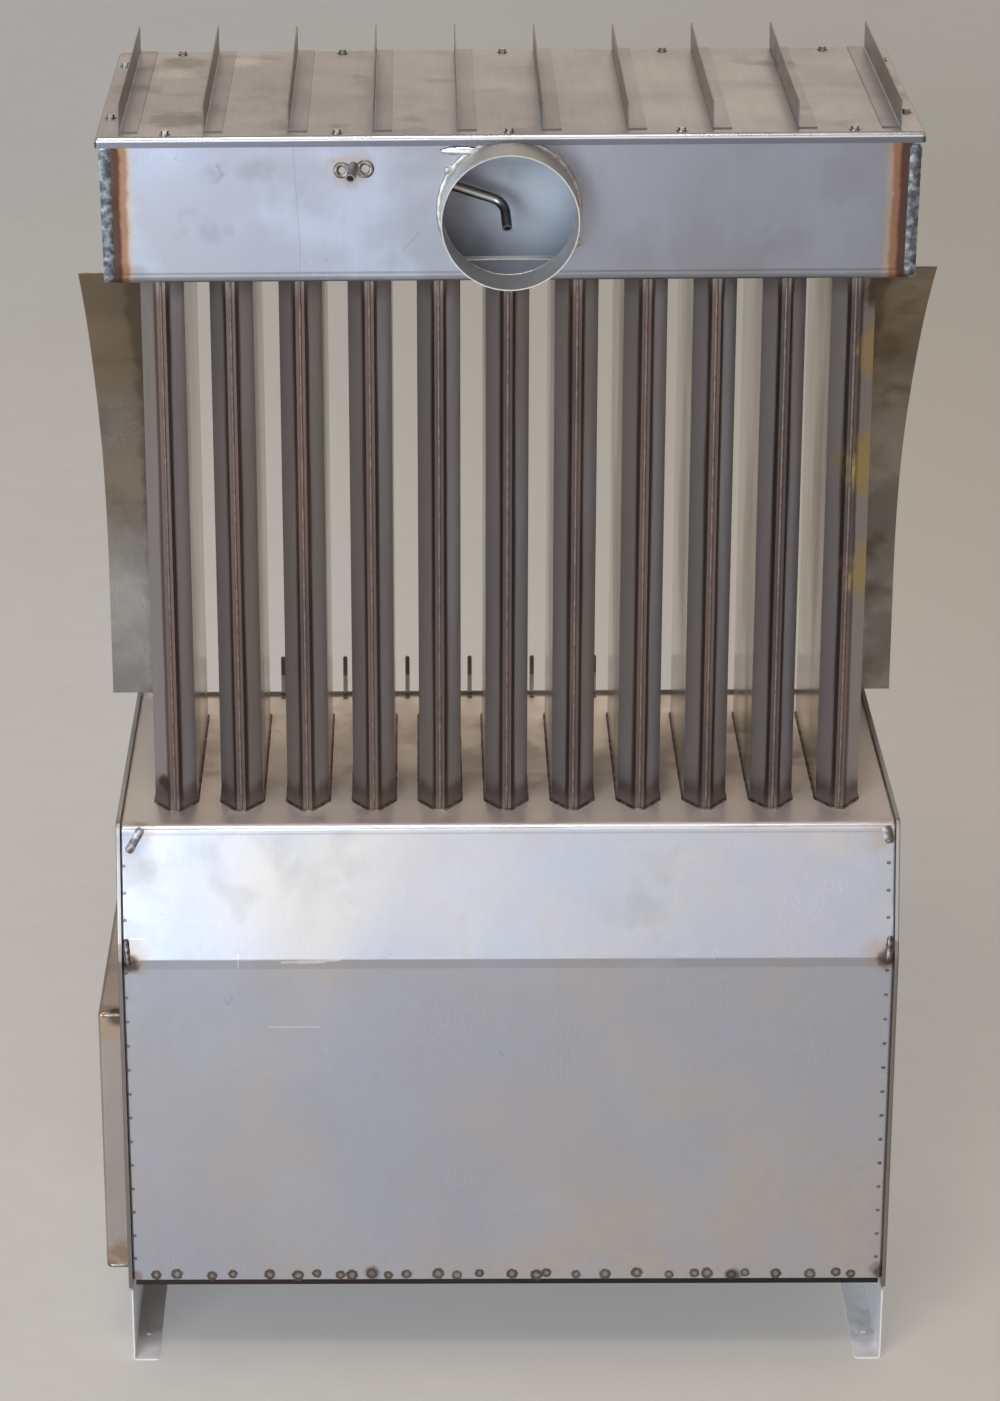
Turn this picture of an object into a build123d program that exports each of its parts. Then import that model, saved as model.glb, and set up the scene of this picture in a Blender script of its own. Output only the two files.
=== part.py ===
from build123d import *
import math
import os

os.makedirs("parts", exist_ok=True)

# Heat exchanger, in millimetres. +Z is up, -Y is the front, and +X is to the right from the front.
# The origin is on the floor, at the centre of the four foot holes.

# Sheet and clearances
box_sheet = 1.5
cell_sheet = 1.2
lid_sheet = 1.5
fin_sheet = 1.2
wing_sheet = 1.2
collar_sheet = 1.2
tab_sheet = 1.5
fit_gap = 0.2
cut_reach = 1.0
tight_bend = 3.0
wide_bend = 7.0

# Lower box
box_width = 757.0
box_depth = 351.0
leg_height = 91.0
front_panel_height = 356.0
slope_rise = 131.0
slope_run = 29.5
side_flange_depth = 14.0
side_proud = 4.0
hem_depth = 9.0
hem_gap = 1.0
hem_round = 1.3
hem_end_drop = 8.0
foot_flange_width = 26.0
foot_corner = 4.0
foot_hole_radius = 2.75
foot_hole_inset = 12.5
foot_hole_setback = 50.0
floor_flange_height = 15.0
floor_flange_drop = 6.5

# Burner port on the left side
port_frame_depth = 315.0
port_frame_height = 287.0
port_frame_stand_out = 25.0
port_frame_bottom = 99.0
port_frame_setback = 9.0
port_opening_depth = 215.0
port_opening_height = 187.0
port_corner = 12.0
port_frame_bend = 4.0

# Cells
cell_count = 11
cell_height = 546.5
cell_width = 41.0
cell_side_margin = 32.0
cell_front_margin = 36.0
cell_rear_margin = 35.0
cell_end_proud = 2.0
nose_depth = 24.0
rib_depth = 8.0
rib_root_width = 14.0
rib_front_width = 8.4
rib_run_out = 24.0
cell_plain_end = 4.0

# Header
header_side_inset = 2.5
header_height = 138.0
header_flange_depth = 18.0
lid_overhang_side = 5.0
lid_overhang_front = 2.5
lid_lip = 10.0
lid_edge_radius = 4.0

# Lid fins
fin_count = 9
fin_side_inset = 21.0
fin_last_space = 95.2
fin_height = 26.0
fin_bend = 2.4
fin_base_width = 18.0
fin_front_setback = 17.5
fin_rear_setback = 3.0

# Lid screws
screw_columns = 5
screw_end_inset = 64.6
screw_setback = 12.0
screw_side_inset = 10.5
screw_side_front = 78.0
screw_side_rear = 62.0
screw_washer_radius = 5.2
screw_washer_height = 0.9
screw_hex_radius = 3.7
screw_hex_height = 2.4
screw_shank_radius = 1.9
screw_length = 13.0

# Flue collar, baffle and sensing tube
collar_radius = 63.5
collar_length = 51.0
collar_spigot = 3.5
collar_step = 0.6
collar_relief = 0.6
baffle_width = 320.0
baffle_setback = 56.0
baffle_height = 108.0
baffle_lift = 0.5
tube_radius = 4.75
tube_bore_radius = 3.1
tube_bore_depth = 12.0
tube_bend = 15.0
tube_outer_bend = 95.0
tube_wall_x = -143.0
tube_wall_height = 110.5
tube_end_drop = 7.0
tube_end_stand_out = 17.5
tube_run_setback = 31.0
tube_run_rise = 4.0
tube_turn_x = -4.0
tube_turn_height = 68.0
tube_tip_x = -1.5
tube_tip_setback = 7.0
tube_tip_height = 49.0

# Side wings and rear tabs
wing_stand_out = 32.0
wing_straight = 128.0
wing_lower_radius = 330.0
wing_lower_turn = 33.0
wing_upper_radius = 900.0
wing_upper_turn = 19.0
tab_height = 44.0
tab_width = 4.5
tab_foot = 9.0

# Worked-out places
side_depth = slope_run + box_depth + side_proud
front_y = -side_depth / 2 + side_proud
bend_y = front_y + slope_run
rear_y = bend_y + box_depth
sheet_rear_y = rear_y - box_sheet
box_half = box_width / 2
side_outer = box_half + box_sheet
slope_bottom_z = leg_height + front_panel_height
box_top_z = slope_bottom_z + slope_rise
wing_foot_z = box_top_z + side_proud
header_floor_z = box_top_z + cell_height
lid_under_z = header_floor_z + header_height
lid_top_z = lid_under_z + lid_sheet
header_half = box_half - header_side_inset
header_front_y = bend_y
header_rear_y = rear_y
lid_front_y = header_front_y - lid_overhang_front
lid_rear_y = header_rear_y + lid_overhang_front
lid_half = header_half + lid_overhang_side
collar_z = header_floor_z + header_height / 2
cell_front_y = bend_y + cell_front_margin
cell_depth = box_depth - cell_front_margin - cell_rear_margin
cell_half = cell_width / 2
cell_pitch = (box_width - 2 * cell_side_margin - cell_width) / (cell_count - 1)
cell_bottom_z = box_top_z - box_sheet - cell_end_proud
cell_top_z = header_floor_z + box_sheet + cell_end_proud
cell_places = [(i - (cell_count - 1) / 2) * cell_pitch for i in range(cell_count)]


def mitred(points, distance):
    """Return the open path of (a, b) points moved to its left by distance, with mitred corners."""
    moved = []
    for i, point in enumerate(points):
        here = Vector(*point)
        before = (here - Vector(*points[i - 1])).normalized() if i > 0 else None
        after = (Vector(*points[i + 1]) - here).normalized() if i < len(points) - 1 else None
        before = before or after
        after = after or before
        left_before = Vector(-before.Y, before.X)
        left_after = Vector(-after.Y, after.X)
        middle = (left_before + left_after).normalized()
        shift = distance / middle.dot(left_before)
        moved.append((here.X + middle.X * shift, here.Y + middle.Y * shift))
    return moved


def turn_is_left(points, i):
    """Say whether the path turns left at point i."""
    a, b, c = (Vector(*points[j]) for j in (i - 1, i, i + 1))
    return (b - a).cross(c - b).Z > 0


def corner_at(sketch, place):
    """Return the sketch's corner nearest to the given (a, b) place."""
    return min(sketch.vertices(), key=lambda v: math.dist((v.X, v.Y), place))


def sheet_section(points, thickness, bends):
    """Draw a folded sheet's section from its path, its thickness to the left and its outer bends."""
    other = mitred(points, thickness)
    section = make_face(Polyline(*points, *reversed(other), close=True))
    for i, bend in enumerate(bends, start=1):
        path_is_outside = turn_is_left(points, i) == (thickness > 0)
        outside, inside = (points[i], other[i]) if path_is_outside else (other[i], points[i])
        section = fillet(corner_at(section, outside), radius=bend)
        if bend > abs(thickness):
            section = fillet(corner_at(section, inside), radius=bend - abs(thickness))
    return section


def along_x(section, low_x, high_x):
    """Extrude a section drawn in (Y, Z) from low_x to high_x."""
    return extrude(Plane.YZ.offset(low_x) * section, amount=high_x - low_x)


def along_z(section, low_z, high_z):
    """Extrude a section drawn in (X, Y) from low_z to high_z."""
    return extrude(Plane.XY.offset(low_z) * section, amount=high_z - low_z)


def block(low, high):
    """Return the box between two opposite corners."""
    size = [b - a for a, b in zip(low, high)]
    return Pos(*low) * Box(*size, align=(Align.MIN, Align.MIN, Align.MIN))


def hole_z(x, y, radius, low_z, high_z):
    """Return an upright round cutter."""
    on_end = (Align.CENTER, Align.CENTER, Align.MIN)
    return Pos(x, y, low_z) * Cylinder(radius, high_z - low_z, align=on_end)


def hole_y(x, z, radius, low_y, high_y):
    """Return a round cutter along Y."""
    turned = Pos(x, low_y, z) * Rot(-90, 0, 0)
    return turned * Cylinder(radius, high_y - low_y, align=(Align.CENTER, Align.CENTER, Align.MIN))


def cell_half_path(side, root_x):
    """Outer path of one half shell from front to rear seam; side is -1 or 1, root_x the rib root."""
    front = [(0, 0), (rib_front_width / 2, 0), (root_x, rib_depth), (cell_half, nose_depth)]
    path = front + [(x, cell_depth - y) for x, y in reversed(front)]
    return [(side * x, y) for x, y in path]


def plain_root_x():
    """Half width of the nose at the rib root's depth, where the rib has run out."""
    share = rib_depth / nose_depth
    return rib_front_width / 2 + (cell_half - rib_front_width / 2) * share


def cell_outline():
    """Filled outline of a whole cell's plain end, wider all round by the fit gap."""
    right = cell_half_path(1, plain_root_x())
    left = cell_half_path(-1, plain_root_x())
    whole = make_face(Polyline(*right, *reversed(left[1:-1]), close=True))
    return offset(whole, fit_gap, kind=Kind.INTERSECTION)


def cell_half_shell(side):
    """One formed half of a cell: plain ends, and between them a rib along each seam."""
    plain = sheet_section(cell_half_path(side, plain_root_x()), side * cell_sheet, [])
    ribbed = sheet_section(cell_half_path(side, rib_root_width / 2), side * cell_sheet, [])
    plain_bottom = box_top_z + cell_plain_end
    plain_top = header_floor_z - cell_plain_end
    sections = [
        (cell_bottom_z, plain),
        (plain_bottom, plain),
        (plain_bottom + rib_run_out, ribbed),
        (plain_top - rib_run_out, ribbed),
        (plain_top, plain),
        (cell_top_z, plain),
    ]
    return loft([Plane.XY.offset(z) * section for z, section in sections], ruled=True)


def cell_slots(low_z, high_z):
    """Cutters for every cell's slot."""
    outline = cell_outline()
    return [Pos(x, cell_front_y, 0) * along_z(outline, low_z, high_z) for x in cell_places]


def screw_places():
    """Every lid screw's (x, y)."""
    pitch = 2 * (lid_half - screw_end_inset) / (screw_columns - 1)
    columns = [(i - (screw_columns - 1) / 2) * pitch for i in range(screw_columns)]
    rows = [lid_front_y + screw_setback, lid_rear_y - screw_setback]
    places = [(x, y) for y in rows for x in columns]
    for x in (-lid_half + screw_side_inset, lid_half - screw_side_inset):
        for y in (lid_front_y + screw_side_front, lid_rear_y - screw_side_rear):
            places.append((x, y))
    return places


def chamber_outline():
    """Outer (Y, Z) path of the lower box's top, slope and front."""
    top = [(sheet_rear_y, box_top_z), (bend_y, box_top_z)]
    return top + [(front_y, slope_bottom_z), (front_y, leg_height)]


def chamber_core(inset, half, bend, edge, reach):
    """Solid lower box, inset from the outer skin, with rounded bends and side edges, run on by reach."""
    path = mitred(chamber_outline(), inset)
    first = (sheet_rear_y + reach, path[0][1])
    last = (path[3][0], leg_height - reach)
    outline = make_face(Polyline(first, path[1], path[2], last, (first[0], leg_height - reach), close=True))
    for corner in path[1:3]:
        outline = fillet(corner_at(outline, corner), radius=bend)
    core = along_x(outline, -half, half)
    skin = [f for f in core.faces() if f.normal_at().Z > -0.5 and f.normal_at().Y < 0.5]
    long_edges = [e for f in skin for e in f.edges() if abs(abs(e.center().X) - half) < fit_gap]
    sides = [f for f in core.faces() if abs(f.normal_at().X) > 0.5]
    rear_and_bottom = [f for f in core.faces() if f.normal_at().Z < -0.5 or f.normal_at().Y > 0.5]
    ends = [e for f in rear_and_bottom for e in f.edges()]
    wanted = [e for f in sides for e in f.edges() if e not in ends and e in long_edges]
    return fillet(wanted, radius=edge)


def chamber_front_sheet():
    """Top plate, slope and front panel in one sheet, with flanges folded back along both sides."""
    sheet = chamber_core(0, box_half, wide_bend, tight_bend, 0)
    inner_half = box_half - box_sheet
    sheet -= chamber_core(box_sheet, inner_half, wide_bend - box_sheet, tight_bend - box_sheet, cut_reach)
    room = mitred(chamber_outline(), side_flange_depth)
    low_y, low_z = sheet_rear_y + cut_reach, leg_height - cut_reach
    corners = [(low_y, room[0][1]), room[1], room[2], (room[3][0], low_z), (low_y, low_z)]
    room = make_face(Polyline(*corners, close=True))
    sheet -= along_x(room, -box_half - cut_reach, box_half + cut_reach)
    for cutter in cell_slots(box_top_z - 2 * box_sheet, box_top_z + box_sheet):
        sheet -= cutter
    return sheet


def chamber_rear_panel():
    """Rear wall, standing proud of the top plate as the side walls do."""
    return block((-box_half, sheet_rear_y, leg_height), (box_half, rear_y, box_top_z + side_proud))


def chamber_floor():
    """Floor pan with its front and rear flanges turned down past the front sheet and the rear wall."""
    half = box_half - tight_bend - fit_gap
    front = front_y + box_sheet
    low = leg_height - floor_flange_drop
    top = low + floor_flange_height
    path = [(front, low), (front, top), (sheet_rear_y, top), (sheet_rear_y, low)]
    return along_x(sheet_section(path, -box_sheet, [tight_bend] * (len(path) - 2)), -half, half)


def foot_hole_places():
    """Distance of the foot holes from the origin, in X and in Y."""
    return side_outer - foot_hole_inset, side_depth / 2 - foot_hole_setback


def inside_edge(distance, bend, low_z):
    """Area of the side wall further in than distance from its top, slope and front edges, in (Y, Z)."""
    path = mitred(chamber_outline(), distance - side_proud)
    far_y = rear_y + (cut_reach if distance else 0)
    corners = [(far_y, path[0][1]), *path[1:3], (path[3][0], low_z), (far_y, low_z)]
    area = make_face(Polyline(*corners, close=True))
    for corner in path[1:3]:
        area = fillet(corner_at(area, corner), radius=bend)
    return area


def side_hem(side):
    """Open hem that folds the side wall's top, slope and front edges back outside."""
    wall_x, fold_x = side * side_outer, side * (side_outer + hem_gap)
    outer_x = fold_x + side * box_sheet
    end_z = leg_height - hem_end_drop
    hem = along_x(inside_edge(0, wide_bend, end_z), min(wall_x, outer_x), max(wall_x, outer_x))
    open_z = end_z - cut_reach
    hem -= along_x(inside_edge(hem_depth, wide_bend, open_z), min(wall_x, outer_x), max(wall_x, outer_x))
    slit = inside_edge(box_sheet, wide_bend - box_sheet, open_z)
    hem -= along_x(slit, min(wall_x, fold_x), max(wall_x, fold_x))
    outer = mitred(chamber_outline(), -side_proud)
    rim = Plane.YZ.offset(outer_x) * Polyline((rear_y, outer[0][1]), *outer[1:3], (outer[3][0], end_z))
    face_edges = [e for e in hem.edges() if abs(e.center().X - outer_x) < 1e-6]
    return fillet([e for e in face_edges if rim.distance_to(e @ 0.5) < hem_depth / 3], radius=hem_round)


def side_panel(side):
    """Side wall and leg, standing proud of the front and top, hemmed, with its foot flange folded in."""
    inner = side * box_half
    outer = side * side_outer
    panel = along_x(inside_edge(0, wide_bend, 0), min(inner, outer), max(inner, outer))
    foot_edge = side * (side_outer - foot_flange_width)
    low = (min(foot_edge, outer), front_y - side_proud, 0)
    foot = block(low, (max(foot_edge, outer), rear_y, box_sheet))
    free_corners = [e for e in foot.edges().filter_by(Axis.Z) if abs(e.center().X - foot_edge) < 1e-6]
    panel += fillet(free_corners, radius=foot_corner)
    crease = [e for e in panel.edges().filter_by(Axis.Y) if abs(e.center().X - outer) < 1e-6]
    panel = fillet(min(crease, key=lambda e: e.center().Z), radius=tight_bend)
    hole_x, hole_y_place = foot_hole_places()
    for y in (-hole_y_place, hole_y_place):
        panel -= hole_z(side * hole_x, y, foot_hole_radius, -cut_reach, box_sheet + cut_reach)
    return panel + side_hem(side)


def port_centre():
    """Centre of the burner port in Y and Z."""
    y = front_y + port_frame_setback + port_frame_depth / 2
    z = port_frame_bottom + port_frame_height / 2
    return y, z


def port_cutter(low_x, high_x):
    """Cutter for the burner opening."""
    opening = RectangleRounded(port_opening_depth, port_opening_height, port_corner)
    return along_x(Pos(*port_centre()) * opening, low_x, high_x)


def side_panel_left():
    """Left side panel with the burner opening."""
    return side_panel(-1) - port_cutter(-side_outer - cut_reach, -box_half + cut_reach)


def burner_port_frame():
    """Shallow pan welded on the left side panel, with the burner opening in its face."""
    y, z = port_centre()
    outer_x = -side_outer - port_frame_stand_out
    outline = Pos(y, z) * RectangleRounded(port_frame_depth, port_frame_height, port_frame_bend)
    pan = along_x(outline, outer_x, -side_outer)
    pan = fillet(pan.faces().sort_by(Axis.X)[0].edges(), radius=port_frame_bend)
    room = Pos(y, z) * RectangleRounded(
        port_frame_depth - 2 * box_sheet, port_frame_height - 2 * box_sheet, port_frame_bend - box_sheet
    )
    hollow = along_x(room, outer_x + box_sheet, -side_outer + cut_reach)
    hollow = fillet(hollow.faces().sort_by(Axis.X)[0].edges(), radius=port_frame_bend - box_sheet - fit_gap)
    return pan - hollow - port_cutter(outer_x - cut_reach, -side_outer)


def header_pan():
    """Header's front wall, slotted floor and rear wall in one sheet, with flanges under the lid."""
    half = header_half - box_sheet
    path = [
        (header_front_y + header_flange_depth, lid_under_z),
        (header_front_y, lid_under_z),
        (header_front_y, header_floor_z),
        (header_rear_y, header_floor_z),
        (header_rear_y, lid_under_z),
        (header_rear_y - header_flange_depth, lid_under_z),
    ]
    bends = [tight_bend, wide_bend, wide_bend, tight_bend]
    pan = along_x(sheet_section(path, box_sheet, bends), -half, half)
    for cutter in cell_slots(header_floor_z - box_sheet, header_floor_z + 2 * box_sheet):
        pan -= cutter
    wall = (header_front_y - cut_reach, header_front_y + box_sheet + cut_reach)
    pan -= hole_y(0, collar_z, collar_radius - collar_step + fit_gap, *wall)
    pan -= tube_along_route(tube_radius + fit_gap)
    return cut_screw_holes(pan)


def cut_screw_holes(piece):
    """Cut the lid screws' holes through a sheet under the lid or the lid itself."""
    for x, y in screw_places():
        low_z, high_z = lid_under_z - 2 * box_sheet, lid_top_z + cut_reach
        piece -= hole_z(x, y, screw_shank_radius + fit_gap, low_z, high_z)
    return piece


def header_end(side):
    """Header end plate with its top flange between the pan's flanges."""
    outer = side * header_half
    inner = side * (header_half - box_sheet)
    flange_edge = side * (header_half - header_flange_depth)
    low = (min(outer, inner), header_front_y, header_floor_z)
    high = (max(outer, inner), header_rear_y, lid_under_z)
    plate = block(low, high)
    plate = fillet(plate.edges().filter_by(Axis.X).group_by(Axis.Z)[0], radius=wide_bend)
    inset = header_flange_depth + fit_gap
    low = (min(outer, flange_edge), header_front_y + inset, lid_under_z - box_sheet)
    high = (max(outer, flange_edge), header_rear_y - inset, lid_under_z)
    plate += block(low, high)
    return cut_screw_holes(plate)


def header_lid():
    """Flat lid with a down-turned lip all round."""
    low_z = lid_top_z - lid_lip
    body = block((-lid_half, lid_front_y, low_z), (lid_half, lid_rear_y, lid_top_z))
    body = fillet(body.edges().filter_by(Axis.Z), radius=lid_edge_radius)
    body = fillet(body.faces().sort_by(Axis.Z)[-1].edges(), radius=lid_edge_radius)
    inner_half = lid_half - lid_sheet
    inside = block(
        (-inner_half, lid_front_y + lid_sheet, low_z - cut_reach),
        (inner_half, lid_rear_y - lid_sheet, lid_under_z),
    )
    inside = fillet(inside.edges().filter_by(Axis.Z), radius=lid_edge_radius - lid_sheet)
    relief = (lid_front_y - cut_reach, lid_front_y + lid_sheet + cut_reach)
    lid = body - inside - hole_y(0, collar_z, collar_radius + collar_relief, *relief)
    return cut_screw_holes(lid)


def lid_fin(place, base_side):
    """Thin angle on the lid; its base lies towards base_side."""
    path = [(base_side * fin_base_width, 0), (0, 0), (0, fin_height)]
    section = sheet_section(path, -base_side * fin_sheet, [fin_bend])
    low_y = lid_front_y + fin_front_setback
    high_y = lid_rear_y - fin_rear_setback
    fin = extrude(Plane.XZ.offset(-low_y) * section, amount=-(high_y - low_y))
    return Pos(place, 0, lid_top_z) * fin


def fin_places():
    """Each fin's x and the side that its base lies on."""
    first = -lid_half + fin_side_inset
    pitch = (-2 * first - fin_last_space) / (fin_count - 1)
    places = [(first + i * pitch, 1) for i in range(fin_count)]
    return places + [(-first, -1)]


def lid_screw():
    """Hexagon washer-head screw with its head on z = 0."""
    bottom = (Align.CENTER, Align.CENTER, Align.MIN)
    washer = Cylinder(screw_washer_radius, screw_washer_height, align=bottom)
    hexagon = extrude(RegularPolygon(screw_hex_radius, 6), amount=screw_hex_height)
    shank = Cylinder(screw_shank_radius, screw_length, align=(Align.CENTER, Align.CENTER, Align.MAX))
    return washer + Pos(0, 0, screw_washer_height) * hexagon + shank


def lid_screws():
    """All the lid screws as one group of separate solids."""
    screw = lid_screw()
    return Compound(children=[Pos(x, y, lid_top_z) * screw for x, y in screw_places()])


def flue_collar():
    """Round pipe stub that stands on the header front, with a thinner spigot through the hole."""
    low_y = header_front_y - collar_length
    high_y = header_front_y + collar_spigot
    pipe = hole_y(0, collar_z, collar_radius, low_y, header_front_y)
    pipe += hole_y(0, collar_z, collar_radius - collar_step, header_front_y, high_y)
    return pipe - hole_y(0, collar_z, collar_radius - collar_sheet, low_y - cut_reach, high_y + cut_reach)


def flue_baffle():
    """Folded plate behind the collar: a shelf from the header front and an upright."""
    shelf_z = cell_top_z + baffle_lift
    drop = max(0, header_floor_z + wide_bend - shelf_z)
    reach = math.sqrt((wide_bend - box_sheet - fit_gap) ** 2 - drop**2)
    path = [
        (header_front_y + wide_bend - reach, shelf_z),
        (header_front_y + baffle_setback, shelf_z),
        (header_front_y + baffle_setback, shelf_z + baffle_height),
    ]
    return along_x(sheet_section(path, cell_sheet, [tight_bend]), -baffle_width / 2, baffle_width / 2)


def tube_route():
    """Centre line of the sensing tube, from its outer end to its tip in the collar."""
    wall_z = header_floor_z + tube_wall_height
    end = (tube_wall_x - 3, header_front_y - tube_end_stand_out, wall_z - tube_end_drop)
    start = (tube_wall_x, header_front_y, wall_z)
    corner = (tube_wall_x, header_front_y + tube_run_setback, wall_z + tube_run_rise)
    turn = (tube_turn_x, header_front_y + tube_run_setback, header_floor_z + tube_turn_height)
    tip = (tube_tip_x, header_front_y + tube_tip_setback, header_floor_z + tube_tip_height)
    return FilletPolyline(end, start, corner, turn, tip, radius=[tube_outer_bend, tube_bend, tube_bend])


def tube_along_route(radius):
    """Round bar of the given radius along the sensing tube's centre line."""
    route = tube_route()
    return sweep(Plane(origin=route @ 0, z_dir=route % 0) * Circle(radius), path=route)


def sensing_tube():
    """Bent tube, with its bore shown at both ends."""
    route = tube_route()
    tube = tube_along_route(tube_radius)
    for end, into in ((route @ 0, route % 0), (route @ 1, -(route % 1))):
        tube -= extrude(Plane(origin=end, z_dir=into) * Circle(tube_bore_radius), amount=tube_bore_depth)
    return tube


def wing_section():
    """Wing section in (Y, Z): straight up the rear, then curving forward under the header."""
    start = (rear_y - wing_sheet, wing_foot_z)
    straight = Line(start, (start[0], start[1] + wing_straight))
    lower = JernArc(straight @ 1, straight % 1, wing_lower_radius, wing_lower_turn)
    upper = JernArc(lower @ 1, lower % 1, wing_upper_radius, wing_upper_turn)
    turn = math.radians(wing_lower_turn + wing_upper_turn)
    back = Vector(math.cos(turn), math.sin(turn)) * wing_sheet
    outer_end = (upper @ 1) + back
    upper_back = JernArc(outer_end, -(upper % 1), wing_upper_radius + wing_sheet, -wing_upper_turn)
    lower_back = JernArc(
        upper_back @ 1, upper_back % 1, wing_lower_radius + wing_sheet, -wing_lower_turn
    )
    down = Line(lower_back @ 1, (rear_y, wing_foot_z))
    end_cap = Line(upper @ 1, outer_end)
    foot = Line((rear_y, wing_foot_z), start)
    return make_face(Curve() + [straight, lower, upper, end_cap, upper_back, lower_back, down, foot])


def wing(side):
    """Curved side wing beside the outermost cell."""
    inner = side * (cell_places[-1] + cell_half)
    outer = side * (header_half + wing_stand_out)
    return along_x(wing_section(), min(inner, outer), max(inner, outer))


def rear_tab():
    """Narrow upright tab with a small foot."""
    half = tab_width / 2
    upright = block((-half, -tab_sheet, 0), (half, 0, tab_height))
    upright = fillet(upright.edges().filter_by(Axis.Y).group_by(Axis.Z)[-1], radius=half - fit_gap)
    return upright + block((-half, -tab_foot, 0), (half, 0, tab_sheet))


def rear_tabs():
    """One upright tab in each gap between two cells, against the rear wall on the top plate."""
    tab = rear_tab()
    gaps = [x + cell_pitch / 2 for x in cell_places[:-1]]
    return Compound(children=[Pos(x, sheet_rear_y, box_top_z) * tab for x in gaps])


def write(name, shape):
    """Write one piece to its own file."""
    export_step(shape, f"parts/{name}.step")


def write_cells():
    """Write the two half shells of every cell."""
    for number, x in enumerate(cell_places, start=1):
        for label, side in (("left", -1), ("right", 1)):
            write(f"cell_{number:02d}_{label}", Pos(x, cell_front_y, 0) * cell_half_shell(side))


def write_fins():
    """Write every lid fin."""
    for number, (x, base_side) in enumerate(fin_places(), start=1):
        write(f"lid_fin_{number:02d}", lid_fin(x, base_side))


def write_all():
    """Build and write every piece."""
    write("chamber_front_sheet", chamber_front_sheet())
    write("chamber_rear_panel", chamber_rear_panel())
    write("chamber_floor", chamber_floor())
    write("side_panel_left", side_panel_left())
    write("side_panel_right", side_panel(1))
    write("burner_port_frame", burner_port_frame())
    write_cells()
    write("header_pan", header_pan())
    write("header_end_left", header_end(-1))
    write("header_end_right", header_end(1))
    write("header_lid", header_lid())
    write_fins()
    write("lid_screws", lid_screws())
    write("flue_collar", flue_collar())
    write("flue_baffle", flue_baffle())
    write("sensing_tube", sensing_tube())
    write("wing_left", wing(-1))
    write("wing_right", wing(1))
    write("rear_tabs", rear_tabs())


write_all()
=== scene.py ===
"""Looks of a furnace heat exchanger: its steel finishes, its welds, and the floor, light and camera."""

from __future__ import annotations

import logging
import math
from dataclasses import dataclass, replace
from enum import Enum
from typing import Callable, Union

import bpy
from mathutils import Matrix, Vector


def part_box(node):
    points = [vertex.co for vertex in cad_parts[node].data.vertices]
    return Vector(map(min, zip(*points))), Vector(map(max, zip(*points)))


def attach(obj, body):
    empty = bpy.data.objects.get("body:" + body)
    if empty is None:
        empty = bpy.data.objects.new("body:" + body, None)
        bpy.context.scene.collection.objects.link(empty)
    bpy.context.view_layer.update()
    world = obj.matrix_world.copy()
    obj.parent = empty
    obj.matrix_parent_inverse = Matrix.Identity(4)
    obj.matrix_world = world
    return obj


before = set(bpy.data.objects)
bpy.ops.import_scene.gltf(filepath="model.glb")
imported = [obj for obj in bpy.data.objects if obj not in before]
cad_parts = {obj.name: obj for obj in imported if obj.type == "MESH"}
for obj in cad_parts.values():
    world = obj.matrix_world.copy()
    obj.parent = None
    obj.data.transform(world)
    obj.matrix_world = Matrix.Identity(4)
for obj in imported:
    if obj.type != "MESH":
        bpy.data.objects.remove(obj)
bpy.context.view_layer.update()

LOG = logging.getLogger("heat_exchanger")
Place = tuple[float, float, float]
Tone = tuple[float, float, float]
Number = Union["Value", float]
Shape = bpy.types.Object
Socket = bpy.types.NodeSocket
Material = bpy.types.Material

SHEET_LOW, SHEET_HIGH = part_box("chamber_front_sheet")
PAN_LOW, PAN_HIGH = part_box("header_pan")
END_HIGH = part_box("header_end_right")[1]
CELL_LOW, CELL_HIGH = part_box("cell_01_left")
COLLAR_LOW, COLLAR_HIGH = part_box("flue_collar")
PORT_LOW, PORT_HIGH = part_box("burner_port_frame")
CELL_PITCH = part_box("cell_02_left")[0].x - CELL_LOW.x
CELL_COUNT = 11
BEND_Y = PAN_LOW.y
FIN_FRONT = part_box("lid_fin_01")[0].y
SLOPE_BOTTOM_Z = 0.447
COLLAR_Z = (COLLAR_LOW.z + COLLAR_HIGH.z) / 2
COLLAR_RADIUS = COLLAR_HIGH.x
FRONT: Place = (0.0, -1.0, 0.0)


class Grain(Enum):
    """How the rolling streaks of a sheet are stretched: the small share is the way they run."""

    ACROSS = (0.03, 1.0, 1.0)
    DEEP = (1.0, 0.03, 1.0)
    UP = (1.0, 1.0, 0.03)


class Slot(Enum):
    """The record's material slots."""

    SHEET = "stainless_sheet"
    CELL = "cell_sheet"
    COLLAR = "collar_steel"
    TUBE = "tube_steel"


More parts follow.
